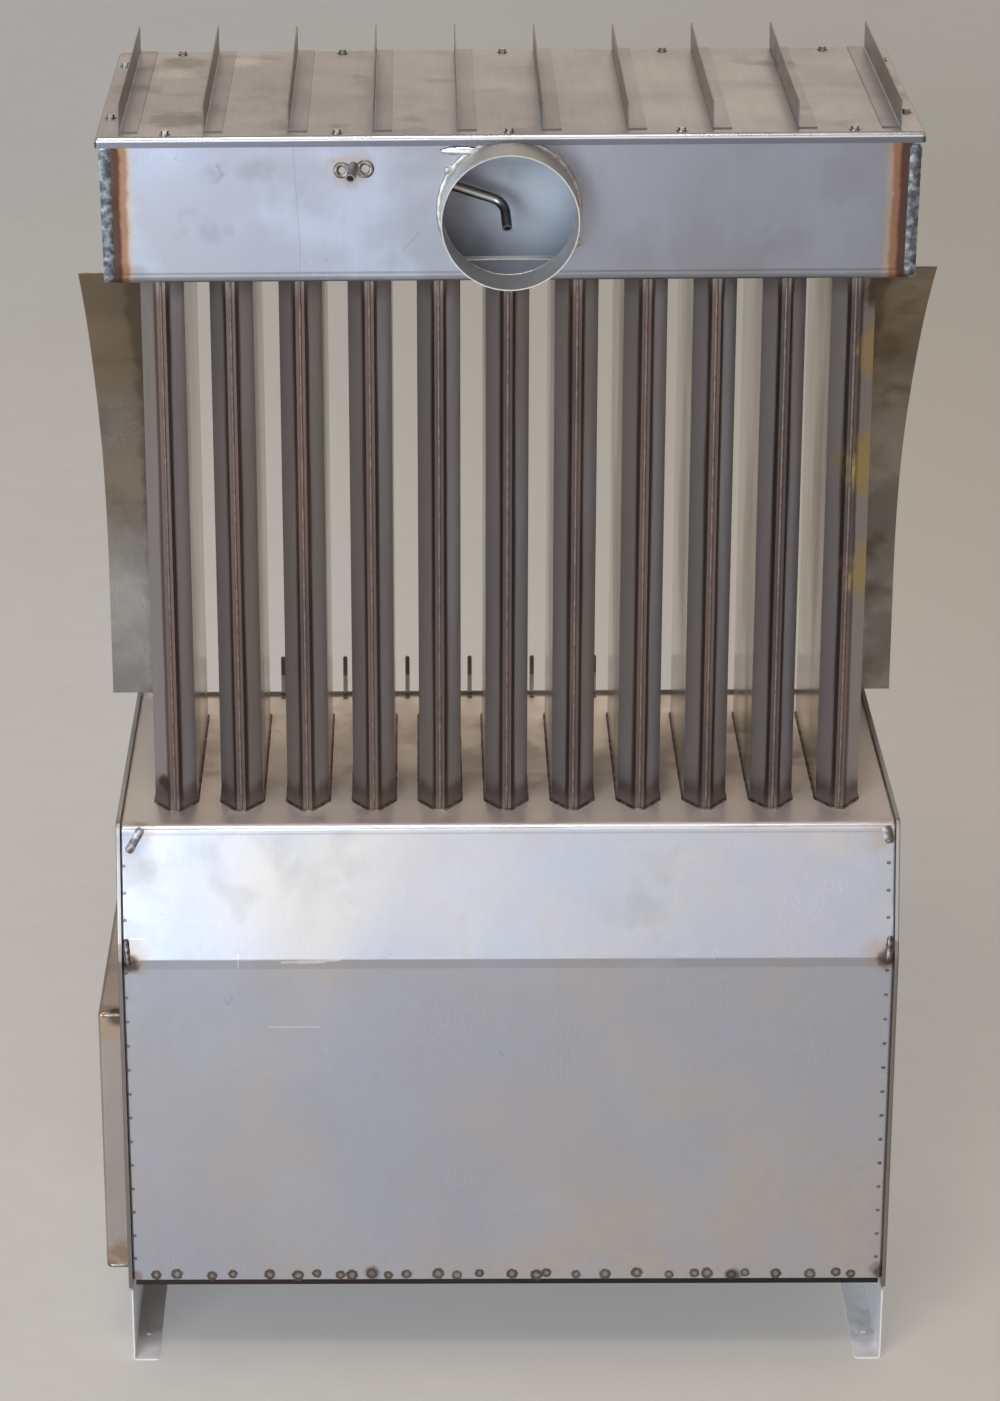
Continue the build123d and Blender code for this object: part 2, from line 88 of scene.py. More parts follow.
class Value:
    """A number that varies over a surface. Arithmetic on it adds Math nodes."""

    def __init__(self, graph: Graph, socket: Socket) -> None:
        """Wrap an output socket of a graph.

        Args:
            graph: The node tree that the socket belongs to.
            socket: The output socket that carries the number.
        """
        self.graph = graph
        self.socket = socket

    def _math(self, operation: str, first: Number, second: Number = 0.0) -> Value:
        """Join two numbers by one Math node."""
        node = self.graph.node("ShaderNodeMath", {"operation": operation}, {0: first, 1: second})
        return Value(self.graph, node.outputs[0])

    def __add__(self, other: Number) -> Value:
        """Sum."""
        return self._math("ADD", self, other)

    def __radd__(self, other: Number) -> Value:
        """Sum, with the value on the right."""
        return self._math("ADD", other, self)

    def __sub__(self, other: Number) -> Value:
        """Difference."""
        return self._math("SUBTRACT", self, other)

    def __rsub__(self, other: Number) -> Value:
        """Difference, with the value on the right."""
        return self._math("SUBTRACT", other, self)

    def __mul__(self, other: Number) -> Value:
        """Product."""
        return self._math("MULTIPLY", self, other)

    def __rmul__(self, other: Number) -> Value:
        """Product, with the value on the right."""
        return self._math("MULTIPLY", other, self)

    def __truediv__(self, other: Number) -> Value:
        """Quotient."""
        return self._math("DIVIDE", self, other)

    def __rtruediv__(self, other: Number) -> Value:
        """Quotient, with the value as the divisor."""
        return self._math("DIVIDE", other, self)

    def __pow__(self, other: Number) -> Value:
        """Power."""
        return self._math("POWER", self, other)

    def __rpow__(self, other: Number) -> Value:
        """Power, with the value as the exponent."""
        return self._math("POWER", other, self)

    def __abs__(self) -> Value:
        """Size without sign."""
        return self._math("ABSOLUTE", self)

    def fraction(self) -> Value:
        """The part after the decimal point."""
        return self._math("FRACT", self)

    def least(self, other: Number) -> Value:
        """The smaller of two numbers."""
        return self._math("MINIMUM", self, other)

    def most(self, other: Number) -> Value:
        """The larger of two numbers."""
        return self._math("MAXIMUM", self, other)

    def ease(self, low: float, high: float) -> Value:
        """A smooth step from 0 at low to 1 at high.

        Args:
            low: The number that gives 0.
            high: The number that gives 1.

        Returns:
            The eased number.
        """
        settings = {"interpolation_type": "SMOOTHSTEP"}
        node = self.graph.node("ShaderNodeMapRange", settings, {"Value": self, "From Min": low, "From Max": high})
        return Value(self.graph, node.outputs[0])


class Graph:
    """A node tree that is built from nothing."""

    def __init__(self, tree: bpy.types.NodeTree) -> None:
        """Start from an empty tree.

        Args:
            tree: The material's or the world's node tree.
        """
        self.tree = tree
        self.tree.nodes.clear()
        self._place: Socket | None = None
        self._axes: tuple[Value, ...] | None = None

    def node(self, kind: str, settings: dict | None = None, inputs: dict | None = None) -> bpy.types.Node:
        """Add one node.

        Args:
            kind: The node's type.
            settings: Its settings, set first; "stops" fills a ramp with (place, colour) pairs.
            inputs: Values or links of its sockets, by name or number.

        Returns:
            The node.
        """
        made = self.tree.nodes.new(kind)
        for name, value in (settings or {}).items():
            if name == "stops":
                self._fill_ramp(made.color_ramp, value)
            else:
                setattr(made, name, value)
        for key, value in (inputs or {}).items():
            source = value.socket if isinstance(value, Value) else value
            if isinstance(source, Socket):
                self.tree.links.new(source, made.inputs[key])
            else:
                made.inputs[key].default_value = source
        return made

    @staticmethod
    def _fill_ramp(ramp: bpy.types.ColorRamp, stops: list[tuple[float, Tone]]) -> None:
        """Set a ramp's stops.

        Args:
            ramp: The ramp, with its two first stops.
            stops: Places and colours.
        """
        while len(ramp.elements) < len(stops):
            ramp.elements.new(0.5)
        for element, (place, tone) in zip(ramp.elements, stops):
            element.position = place
            element.color = (*tone, 1.0)

    def place(self) -> Socket:
        """The point's place in the part's frame.

        Returns:
            The socket that carries it.
        """
        if self._place is None:
            self._place = self.node("ShaderNodeTexCoord").outputs["Object"]
        return self._place

    def axes(self) -> tuple[Value, ...]:
        """The point's X, Y and Z.

        Returns:
            Three numbers.
        """
        if self._axes is None:
            split = self.node("ShaderNodeSeparateXYZ", inputs={0: self.place()})
            self._axes = tuple(Value(self, split.outputs[i]) for i in range(3))
        return self._axes

    def noise(self, scale: float, detail: float = 2.0, stretch: Place = (1, 1, 1), roughness: float = 0.5) -> Value:
        """Soft noise from 0 to 1.

        Args:
            scale: Features per metre.
            detail: How many finer layers it has.
            stretch: Share of the scale along X, Y and Z.
            roughness: Strength of the finer layers.

        Returns:
            The noise.
        """
        mapped = self.node("ShaderNodeMapping", inputs={"Vector": self.place(), "Scale": stretch})
        inputs = {"Vector": mapped.outputs[0], "Scale": scale, "Detail": detail, "Roughness": roughness}
        return Value(self, self.node("ShaderNodeTexNoise", inputs=inputs).outputs[0])

    def mix(self, share: Number, first: object, second: object) -> Socket:
        """Mix two colours.

        Args:
            share: Share of the second colour.
            first: Colour or socket.
            second: Colour or socket.

        Returns:
            The mixed colour.
        """
        colours = [(*c, 1.0) if isinstance(c, tuple) else c for c in (first, second)]
        inputs = {0: share, 6: colours[0], 7: colours[1]}
        return self.node("ShaderNodeMix", {"data_type": "RGBA"}, inputs).outputs[2]

    def distance(self, point: Socket, centre: Place) -> Value:
        """Distance of a point from a fixed centre."""
        gap = self.node("ShaderNodeVectorMath", {"operation": "DISTANCE"}, {0: point, 1: centre})
        return Value(self, gap.outputs["Value"])

    def bump(self, height: Value, depth: float, strength: float, under: object = None) -> Socket:
        """Turn a height into a normal.

        Args:
            height: Height from 0 to 1.
            depth: Depth of a height of 1, in metres.
            strength: Share of the effect.
            under: Normal that this one is laid over.

        Returns:
            The normal.
        """
        inputs = {"Height": height, "Distance": depth, "Strength": strength}
        if under is not None:
            inputs["Normal"] = under
        return self.node("ShaderNodeBump", inputs=inputs).outputs[0]

    def metal(self, colour: object, rough: Number, normal: object = None, alpha: Number = 1.0) -> None:
        """Close the tree with a bare metal surface.

        Args:
            colour: Colour of its reflections.
            rough: Roughness.
            normal: Bumped normal.
            alpha: Share that covers what lies beneath.
        """
        inputs = {"Base Color": colour, "Metallic": 1.0, "Roughness": rough, "Alpha": alpha}
        if normal is not None:
            inputs["Normal"] = normal
        shader = self.node("ShaderNodeBsdfPrincipled", inputs=inputs)
        self.node("ShaderNodeOutputMaterial", inputs={"Surface": shader.outputs[0]})


def new_graph(name: str) -> tuple[Material, Graph]:
    """Start a material.

    Args:
        name: Its name.

    Returns:
        The material and its empty graph.
    """
    made = bpy.data.materials.new(name)
    made.use_nodes = True
    return made, Graph(made.node_tree)


def dimmed(tone: Tone, share: float) -> Tone:
    """A tone made darker to the given share."""
    return (tone[0] * share, tone[1] * share, tone[2] * share)


@dataclass(frozen=True)
class Mark:
    """A place on a sheet with a colour and a roughness of its own."""

    tone: Tone
    share: float
    rougher: float

    def mask(self, graph: Graph) -> Value:
        """Where the mark lies, from 0 to 1."""
        raise NotImplementedError


@dataclass(frozen=True)
class Band(Mark):
    """A band between two places on one axis; on X, both sides of the middle have it."""

    low: float
    high: float
    axis: int = 2
    soft: float = 0.004
    wander: float = 1.0

    def mask(self, graph: Graph) -> Value:
        """Band with an uneven edge.

        Args:
            graph: The finish's graph.

        Returns:
            The mask.
        """
        along = graph.axes()[self.axis]
        along = abs(along) if self.axis == 0 else along
        along = along + (graph.noise(28, 5.0, roughness=0.65) - 0.5) * (self.soft * 2.5 * self.wander)
        return along.ease(self.low - self.soft, self.low) * (1.0 - along.ease(self.high, self.high + self.soft))


@dataclass(frozen=True)
class Spot(Mark):
    """A round place about a point."""

    centre: Place
    reach: float
    wander: float = 1.0

    def mask(self, graph: Graph) -> Value:
        """Spot with an uneven edge.

        Args:
            graph: The finish's graph.

        Returns:
            The mask.
        """
        far = graph.distance(graph.place(), self.centre)
        far = far + (graph.noise(90, 3.0) - 0.5) * (self.reach * self.wander)
        return 1.0 - far.ease(self.reach * 0.35, self.reach)


@dataclass(frozen=True)
class Scratch(Mark):
    """A straight scratch on a face that looks to the front."""

    start: tuple[float, float]
    end: tuple[float, float]
    width: float

    def mask(self, graph: Graph) -> Value:
        """Nearness to the line from start to end, in X and Z.

        Args:
            graph: The finish's graph.

        Returns:
            The mask.
        """
        x, _, z = graph.axes()
        run = self.end[0] - self.start[0]
        rise = self.end[1] - self.start[1]
        along = ((x - self.start[0]) * run + (z - self.start[1]) * rise) / (run * run + rise * rise)
        along = along.most(0.0).least(1.0)
        away = (x - self.start[0] - along * run) ** 2 + (z - self.start[1] - along * rise) ** 2
        return 1.0 - (away**0.5).ease(0.0, self.width)


@dataclass(frozen=True)
class SheetFinish:
    """Rolled stainless sheet: tone, clouds, patches, grain, waviness, smudges and marks."""

    name: str
    tone: Tone
    cloud: Tone
    roughness: float = 0.34
    spread: float = 0.1
    patchy: float = 0.4
    patch_level: float = 0.74
    grain: Grain = Grain.UP
    streaky: float = 0.25
    wave_depth: float = 0.003
    smudges: float = 0.4
    marks: tuple[Mark, ...] = ()

    def material(self) -> Material:
        """Build the finish.

        Returns:
            The material.
        """
        made, graph = new_graph(self.name)
        clouds = graph.noise(3.6, 3.0).ease(0.36, 0.62)
        patches = graph.noise(9.5, 4.0, roughness=0.58).ease(0.42, 0.6)
        streaks = graph.noise(260, 2.0, self.grain.value)
        smears = graph.noise(20, 3.0).ease(0.5, 0.68) * graph.noise(5.2, 2.0).ease(0.44, 0.6)
        colour = graph.mix(clouds, self.tone, self.cloud)
        colour = graph.mix(patches * (0.5 * self.patchy), colour, dimmed(self.tone, self.patch_level))
        colour = graph.mix((streaks - 0.35) * self.streaky, colour, dimmed(self.tone, 0.7))
        colour = graph.mix(smears * (0.6 * self.smudges), colour, dimmed(self.cloud, 0.62))
        rough = (streaks - 0.5) * self.spread + (clouds - 0.5) * (self.spread * 0.7) + self.roughness
        rough = rough + (patches - 0.5) * (self.spread * self.patchy) + smears * (0.2 * self.smudges)
        for mark in self.marks:
            mask = mark.mask(graph)
            colour = graph.mix(mask * mark.share, colour, mark.tone)
            rough = rough + mask * mark.rougher
        normal = graph.bump(graph.noise(3.2, 1.5), self.wave_depth, 0.5)
        normal = graph.bump(graph.noise(13, 2.0), self.wave_depth * 0.12, 0.4, normal)
        normal = graph.bump(streaks, 0.00004, 0.3, normal)
        graph.metal(colour, rough, normal)
        return made


@dataclass(frozen=True)
class CellFinish:
    """Formed cell sheet, red-brown from heat beside the seam with painted shade there too, darker at both ends (heat
    colour at the foot, painted shadow of the header at the head) and paler on its sides.
    """

    name: str
    tone: Tone
    warm: Tone
    dark: Tone
    burnt: Tone
    side: Tone = (0.74, 0.70, 0.62)
    nose: tuple[float, float] = (0.0235, 0.0265)
    roughness: float = 0.46
    marks: tuple[Mark, ...] = ()

    def material(self) -> Material:
        """Build the finish.

        Returns:
            The material.
        """
        made, graph = new_graph(self.name)
        x, y, z = graph.axes()
        low_z, high_z = SHEET_HIGH.z, PAN_LOW.z
        middle = abs((x / CELL_PITCH + CELL_COUNT / 2).fraction() - 0.5) * CELL_PITCH
        wander = graph.noise(60, 3.0, (1, 1, 0.1)) - 0.5
        front = 1.0 - y.ease(*(CELL_LOW.y + depth for depth in self.nose))
        ribbed = z.ease(low_z + 0.006, low_z + 0.026) * (1.0 - z.ease(high_z - 0.028, high_z - 0.006))
        # Beside the seam the sheet is red-brown from heat and darkened further with painted shade.
        near_seam = (1.0 - (middle + wander * 0.004).ease(0.0062, 0.0092)) * front
        foot = 1.0 - (z + wander * 0.02).ease(low_z + 0.006, low_z + 0.03)
        foot_line = foot * (z + wander * 0.012).ease(low_z + 0.006, low_z + 0.02)
        # Painted shadow of the header on the cells' top ends.
        head = (z + wander * 0.03).ease(high_z - 0.036, high_z - 0.003)
        streaks = graph.noise(190, 3.0, Grain.UP.value)
        clouds = graph.noise(8, 3.0, (1, 1, 0.4)).ease(0.38, 0.64)
        colour = graph.mix(clouds, self.tone, self.warm)
        colour = graph.mix((streaks - 0.35) * 0.4, colour, dimmed(self.tone, 0.65))
        redder = graph.noise(5, 2.0, (1, 1, 0.6)).ease(0.4, 0.6)
        seam_tone = graph.mix(redder, self.dark, self.burnt)
        colour = graph.mix((1.0 - front) * 0.8, colour, self.side)
        # Heat colour with painted shade beside the seam.
        colour = graph.mix(near_seam * (ribbed * 0.3 + 0.55), colour, seam_tone)
        colour = graph.mix(foot * 0.45, colour, self.burnt)
        colour = graph.mix(foot_line * 0.5, colour, dimmed(self.dark, 0.6))
        # Painted shadow of the header on the cells' top ends.
        colour = graph.mix(head * 0.45, colour, dimmed(self.warm, 0.6))
        for mark in self.marks:
            colour = graph.mix(mark.mask(graph) * mark.share, colour, mark.tone)
        rough = (streaks - 0.5) * 0.12 + (clouds - 0.5) * 0.08 + self.roughness + near_seam * 0.08
        rough = rough - (1.0 - front) * 0.22
        normal = graph.bump(graph.noise(5, 2.0, (1, 1, 0.5)), 0.002, 0.5)
        normal = graph.bump(streaks, 0.00005, 0.35, normal)
        graph.metal(colour, rough, normal)
        return made


@dataclass(frozen=True)
class WeldFinish:
    """Weld metal with fine ripples and a run of heat colours."""

    name: str
    tones: tuple[Tone, Tone, Tone]
    roughness: float
    ripple_depth: float = 0.0003

    def material(self) -> Material:
        """Build the finish.

        Returns:
            The material.
        """
        made, graph = new_graph(self.name)
        lumps = graph.noise(150, 3.0)
        stops = [(0.36, self.tones[0]), (0.5, self.tones[1]), (0.62, self.tones[2])]
        colour = graph.node("ShaderNodeValToRGB", {"stops": stops}, {0: lumps}).outputs[0]
        ripples = graph.noise(520, 2.0)
        normal = graph.bump(lumps, self.ripple_depth * 3, 0.6)
        normal = graph.bump(ripples, self.ripple_depth, 0.5, normal)
        graph.metal(colour, (ripples - 0.5) * 0.16 + self.roughness, normal)
        return made


@dataclass(frozen=True)
class SpotWeldFinish:
    """The print of a spot weld: its middle, a brown ring, then a rim that fades into the sheet."""

    name: str
    middle: Tone
    ring: Tone
    cover: float

    def material(self) -> Material:
        """Build the finish.

        Returns:
            The material.
        """
        made, graph = new_graph(self.name)
        flat = graph.node("ShaderNodeTexCoord").outputs["UV"]
        far = graph.distance(flat, (0.5, 0.5, 0.0)) + (graph.noise(330, 4.0, roughness=0.6) - 0.5) * 0.34
        ring = far.ease(0.12, 0.26) * (1.0 - far.ease(0.38, 0.48))
        colour = graph.mix(ring, self.middle, self.ring)
        faint = graph.noise(17, 1.0).ease(0.4, 0.6) * 0.35 + 0.65
        alpha = (ring * (0.95 - self.cover) + self.cover) * (1.0 - far.ease(0.38, 0.5)) * faint
        graph.metal(colour, ring * 0.12 + 0.38, None, alpha)
        return made


def clear_selection() -> None:
    """Deselect everything, so that an operator acts only on the new piece."""
    bpy.ops.object.select_all(action="DESELECT")


def pick(piece: Shape, kind: str, test: Callable[[Vector, Vector], bool]) -> None:
    """In edit mode, select only the elements that pass a test.

    Args:
        piece: The piece in edit mode.
        kind: VERT, EDGE or FACE.
        test: Takes an edge's two ends, a vertex twice, or a face's centre and normal.
    """
    bpy.ops.mesh.select_mode(type=kind)
    bpy.ops.mesh.select_all(action="DESELECT")
    bpy.ops.object.mode_set(mode="OBJECT")
    mesh = piece.data
    if kind == "EDGE":
        for edge in mesh.edges:
            first, second = (mesh.vertices[i].co for i in edge.vertices)
            edge.select = test(first, second)
    elif kind == "FACE":
        for face in mesh.polygons:
            face.select = test(face.center, face.normal)
    else:
        for vertex in mesh.vertices:
            vertex.select = test(vertex.co, vertex.co)
    bpy.ops.object.mode_set(mode="EDIT")


def settle(piece: Shape, name: str, material: Material) -> None:
    """Put a finished piece's place into its mesh, dress it and let it ride on the part.

    Args:
        piece: The finished piece.
        name: Its name.
        material: Its finish.
    """
    clear_selection()
    piece.select_set(True)
    bpy.context.view_layer.objects.active = piece
    bpy.ops.object.transform_apply(location=True, rotation=True, scale=True)
    bpy.ops.object.shade_smooth_by_angle(angle=math.radians(50))
    piece.name = name
    piece.data.name = name
    piece.data.materials.clear()
    piece.data.materials.append(material)
    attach(piece, "root")
    LOG.info("made %s, %d faces", name, len(piece.data.polygons))


def roughen(piece: Shape, lumps: float) -> None:
    """Give a weld its small lumps.

    Args:
        piece: The weld's smooth shape.
        lumps: Height of the lumps.
    """
    texture = bpy.data.textures.get("weld_lumps")
    if texture is None:
        texture = bpy.data.textures.new("weld_lumps", "CLOUDS")
        texture.noise_scale = 0.005
    modifier = piece.modifiers.new("displace", "DISPLACE")
    modifier.texture = texture
    modifier.texture_coords = "GLOBAL"
    modifier.strength = lumps
    modifier.mid_level = 0.5
    bpy.context.view_layer.objects.active = piece
    bpy.ops.object.modifier_apply(modifier=modifier.name)


def bead(
    start: Place, end: Place, half_width: float, half_thick: float, lumps: float = 0.0008, facing: Place = FRONT
) -> Shape:
    """Model a weld bead along a line.

    Args:
        start: One end.
        end: The other end.
        half_width: Half of the bead's width.
        half_thick: Half of its thickness.
        lumps: Height of its lumps.
        facing: The way that the face under the bead looks.

    Returns:
        The bead, not yet settled.
    """
    low, high = Vector(start), Vector(end)
    run = high - low
    along = run.normalized()
    side = Vector(facing).cross(along).normalized()
    turn = Matrix((side, along.cross(side), along)).transposed().to_4x4()
    clear_selection()
    bpy.ops.mesh.primitive_cylinder_add(vertices=10, radius=half_width, depth=run.length, end_fill_type="NGON")
    piece = bpy.context.object
    bpy.ops.object.mode_set(mode="EDIT")
    pick(piece, "EDGE", lambda a, b: abs(a.z - b.z) > 0.0001)
    bpy.ops.mesh.subdivide(number_cuts=max(4, int(run.length / 0.003)))
    pick(piece, "FACE", lambda c, n: abs(n.z) > 0.99)
    bpy.ops.transform.resize(value=(0.6, 0.6, 1.0))
    bpy.ops.mesh.select_all(action="SELECT")
    bpy.ops.transform.resize(value=(1.0, half_thick / half_width, 1.0))
    bpy.ops.object.mode_set(mode="OBJECT")
    piece.matrix_world = Matrix.Translation((low + high) / 2) @ turn
    roughen(piece, lumps)
    return piece


def puddle(centre: Place, width: float, height: float, thick: float) -> Shape:
    """Model a flat puddle of weld metal on a face that looks to the front.

    Args:
        centre: Middle of the puddle on the face.
        width: Its size along X.
        height: Its size along Z.
        thick: How far it stands out.

    Returns:
        The puddle, not yet settled.
    """
    clear_selection()
    bpy.ops.mesh.primitive_uv_sphere_add(segments=24, ring_count=12, radius=1.0, location=centre)
    piece = bpy.context.object
    piece.scale = (width / 2, thick, height / 2)
    bpy.ops.object.transform_apply(location=False, rotation=True, scale=True)
    bpy.ops.object.mode_set(mode="EDIT")
    pick(piece, "VERT", lambda a, b: a.y > thick * 0.1)
    bpy.ops.transform.resize(value=(1.1, 0.05, 1.1))
    bpy.ops.object.mode_set(mode="OBJECT")
    roughen(piece, thick * 0.8)
    return piece


def weld_ring(centre: Place, radius: float, half_width: float, half_thick: float) -> Shape:
    """Model a ring of weld metal on a face that looks to the front.

    Args:
        centre: Middle of the ring on the face.
        radius: Radius of the ring's middle line.
        half_width: Half of the bead's width.
        half_thick: Half of its thickness along Y.

    Returns:
        The ring, not yet settled.
    """
    clear_selection()
    start = (centre[0] + radius, centre[1], centre[2])
    bpy.ops.mesh.primitive_circle_add(vertices=12, radius=half_width, location=start)
    piece = bpy.context.object
    turns = max(24, int(radius * 2 * math.pi / 0.003))
    bpy.ops.object.mode_set(mode="EDIT")
    bpy.ops.mesh.select_all(action="SELECT")
    bpy.ops.transform.resize(value=(1.0, half_thick / half_width, 1.0))
    bpy.ops.mesh.spin(steps=turns, angle=2 * math.pi, center=centre, axis=(0, 1, 0))
    bpy.ops.mesh.select_all(action="SELECT")
    bpy.ops.mesh.remove_doubles(threshold=0.00002)
    bpy.ops.mesh.normals_make_consistent(inside=False)
    bpy.ops.object.mode_set(mode="OBJECT")
    roughen(piece, half_thick * 0.8)
    return piece


def print_disc(radius: float, depth: float) -> Shape:
    """Model the print of a spot weld, facing up, with its rim at the origin's height.

    Args:
        radius: Radius of the rim.
        depth: Height of its ring above the rim.

    Returns:
        The print, not yet placed.
    """
    clear_selection()
    bpy.ops.mesh.primitive_circle_add(vertices=20, radius=radius, fill_type="NGON")
    piece = bpy.context.object
    bpy.ops.object.mode_set(mode="EDIT")
    bpy.ops.mesh.select_all(action="SELECT")
    bpy.ops.mesh.inset(thickness=radius * 0.3, depth=depth)
    bpy.ops.mesh.inset(thickness=radius * 0.25, depth=0.0)
    bpy.ops.mesh.inset(thickness=radius * 0.15, depth=-depth * 0.8)
    bpy.ops.object.mode_set(mode="OBJECT")
    return piece


def copy_of(piece: Shape, matrix: Matrix) -> Shape:
    """Copy a modelled shape, with a mesh of its own, to another place.

    Args:
        piece: The modelled shape.
        matrix: Where the copy goes.

    Returns:
        The copy.
    """
    twin = piece.copy()
    twin.data = piece.data.copy()
    twin.data.transform(matrix @ piece.matrix_world)
    twin.matrix_world = Matrix.Identity(4)
    bpy.context.collection.objects.link(twin)
    return twin


def joined(pieces: list[Shape]) -> Shape:
    """Join shapes into one piece.

    Args:
        pieces: The shapes.

    Returns:
        The piece.
    """
    clear_selection()
    for piece in pieces:
        piece.select_set(True)
    bpy.context.view_layer.objects.active = pieces[0]
    bpy.ops.object.join()
    return bpy.context.view_layer.objects.active


def dress(material: Material, *nodes: str) -> None:
    """Give CAD nodes a finish.

    Args:
        material: The finish.
        nodes: The nodes' names.
    """
    for name in nodes:
        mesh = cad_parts[name].data
        mesh.materials.clear()
        mesh.materials.append(material)
        LOG.info("dressed %s in %s", name, material.name)


def on_skin(x: float, z: float, proud: float = 0.0) -> Place:
    """A point on the lower box's front panel or slope.

    Args:
        x: Its X.
        z: Its height.
        proud: How far it stands out to the front.

    Returns:
        The point.
    """
    share = max(0.0, (z - SLOPE_BOTTOM_Z) / (SHEET_HIGH.z - SLOPE_BOTTOM_Z))
    return (x, SHEET_LOW.y + share * (BEND_Y - SHEET_LOW.y) - proud, z)


BROWN_HEAT: Tone = (0.30, 0.14, 0.07)
# Dark heat colour; also used for painted shade lines.
DARK_HEAT_AND_SHADE: Tone = (0.075, 0.04, 0.035)
STRAW_HEAT: Tone = (0.50, 0.36, 0.22)
GOLD_HEAT: Tone = (0.60, 0.43, 0.12)
BLUE_HEAT: Tone = (0.30, 0.32, 0.50)
STAIN: Tone = (0.30, 0.31, 0.35)
GLINT: Tone = (0.93, 0.93, 0.96)

HEADER_FINISH = SheetFinish(
    name="header_sheet",
    # The tone is partly the sheet's own and partly a painted reflection of bluish light.
    tone=(0.41, 0.45, 0.56),
    cloud=(0.37, 0.38, 0.43),
    patchy=0.9,
    patch_level=1.22,
    smudges=0.6,
    marks=(
        # Painted shade: a wide dark spot that darkens the header's right side, where less light falls.
        Spot((0.27, 0.27, 0.30), 0.8, 0.03, centre=(0.33, BEND_Y, 1.19), reach=0.45, wander=0.1),
        Band(STRAW_HEAT, 0.5, 0.02, low=0.35, high=0.358, axis=0, soft=0.007),
        Band(BROWN_HEAT, 0.85, 0.05, low=0.354, high=0.364, axis=0, soft=0.005),
        Band(DARK_HEAT_AND_SHADE, 0.85, 0.1, low=0.3605, high=0.369, axis=0),
        # Painted shade: a thin dark line above the bottom bend's reflection.
        Band(DARK_HEAT_AND_SHADE, 0.35, 0.0, low=1.1335, high=1.1348, soft=0.001, wander=0.2),
        Spot((0.40, 0.31, 0.27), 0.75, 0.04, centre=(-0.1455, BEND_Y, 1.233), reach=0.024),
        Scratch(STAIN, 0.8, 0.1, start=(-0.2685, 1.2372), end=(-0.264, 1.2278), width=0.0034),
        Scratch(STAIN, 0.6, 0.1, start=(-0.264, 1.2278), end=(-0.27, 1.2205), width=0.0026),
        Scratch(STAIN, 0.5, 0.05, start=(-0.199, 1.26), end=(-0.193, 1.15), width=0.0014),
        Scratch(STAIN, 0.6, 0.1, start=(-0.098, 1.156), end=(-0.083, 1.172), width=0.0016),
        Spot(STAIN, 0.35, 0.08, centre=(0.215, BEND_Y, 1.19), reach=0.045),
        Spot(STAIN, 0.3, 0.08, centre=(0.265, BEND_Y, 1.215), reach=0.06),
        Spot(STAIN, 0.3, 0.06, centre=(0.3, BEND_Y, 1.175), reach=0.04),
        Spot(STAIN, 0.4, 0.1, centre=(-0.259, BEND_Y, 1.175), reach=0.009),
    ),
)
LID_FINISH = SheetFinish(
    name="lid_sheet",
    tone=(0.43, 0.42, 0.45),
    cloud=(0.39, 0.38, 0.41),
    roughness=0.4,
    patchy=0.3,
    grain=Grain.DEEP,
    streaky=0.1,
    smudges=0.5,
    marks=(
        Spot((0.30, 0.28, 0.25), 0.8, 0.12, centre=(-0.308, -0.0945, PAN_HIGH.z), reach=0.04),
        Spot((0.36, 0.34, 0.31), 0.7, 0.12, centre=(-0.312, 0.144, PAN_HIGH.z), reach=0.032),
        Spot((0.82, 0.78, 0.75), 0.8, 0.15, centre=(-0.322, 0.0945, PAN_HIGH.z), reach=0.028),
        Spot((0.82, 0.78, 0.75), 0.8, 0.15, centre=(-0.258, 0.1465, PAN_HIGH.z), reach=0.03),
        # Painted highlight along the lip's top bend, then painted shade on the lip's lower half.
        Band((0.95, 0.95, 0.97), 0.7, -0.1, low=1.2602, high=1.2634, soft=0.0008, wander=0.1),
        Band((0.14, 0.14, 0.17), 0.85, 0.0, low=1.25, high=1.2588, soft=0.001, wander=0.2),
    ),
)
FIN_FINISH = replace(
    LID_FINISH,
    name="fin_sheet",
    smudges=SheetFinish.smudges,
    marks=(
        Band((0.33, 0.29, 0.26), 0.9, 0.0, low=1.2668, high=1.3, soft=0.001, wander=0.2),
        # Painted shade on the fins' front ends, which keeps them from catching light.
        Band((0.22, 0.21, 0.21), 0.9, 0.2, low=FIN_FRONT - 0.001, high=FIN_FRONT + 0.0006, axis=1, soft=0.0004),
    ),
)
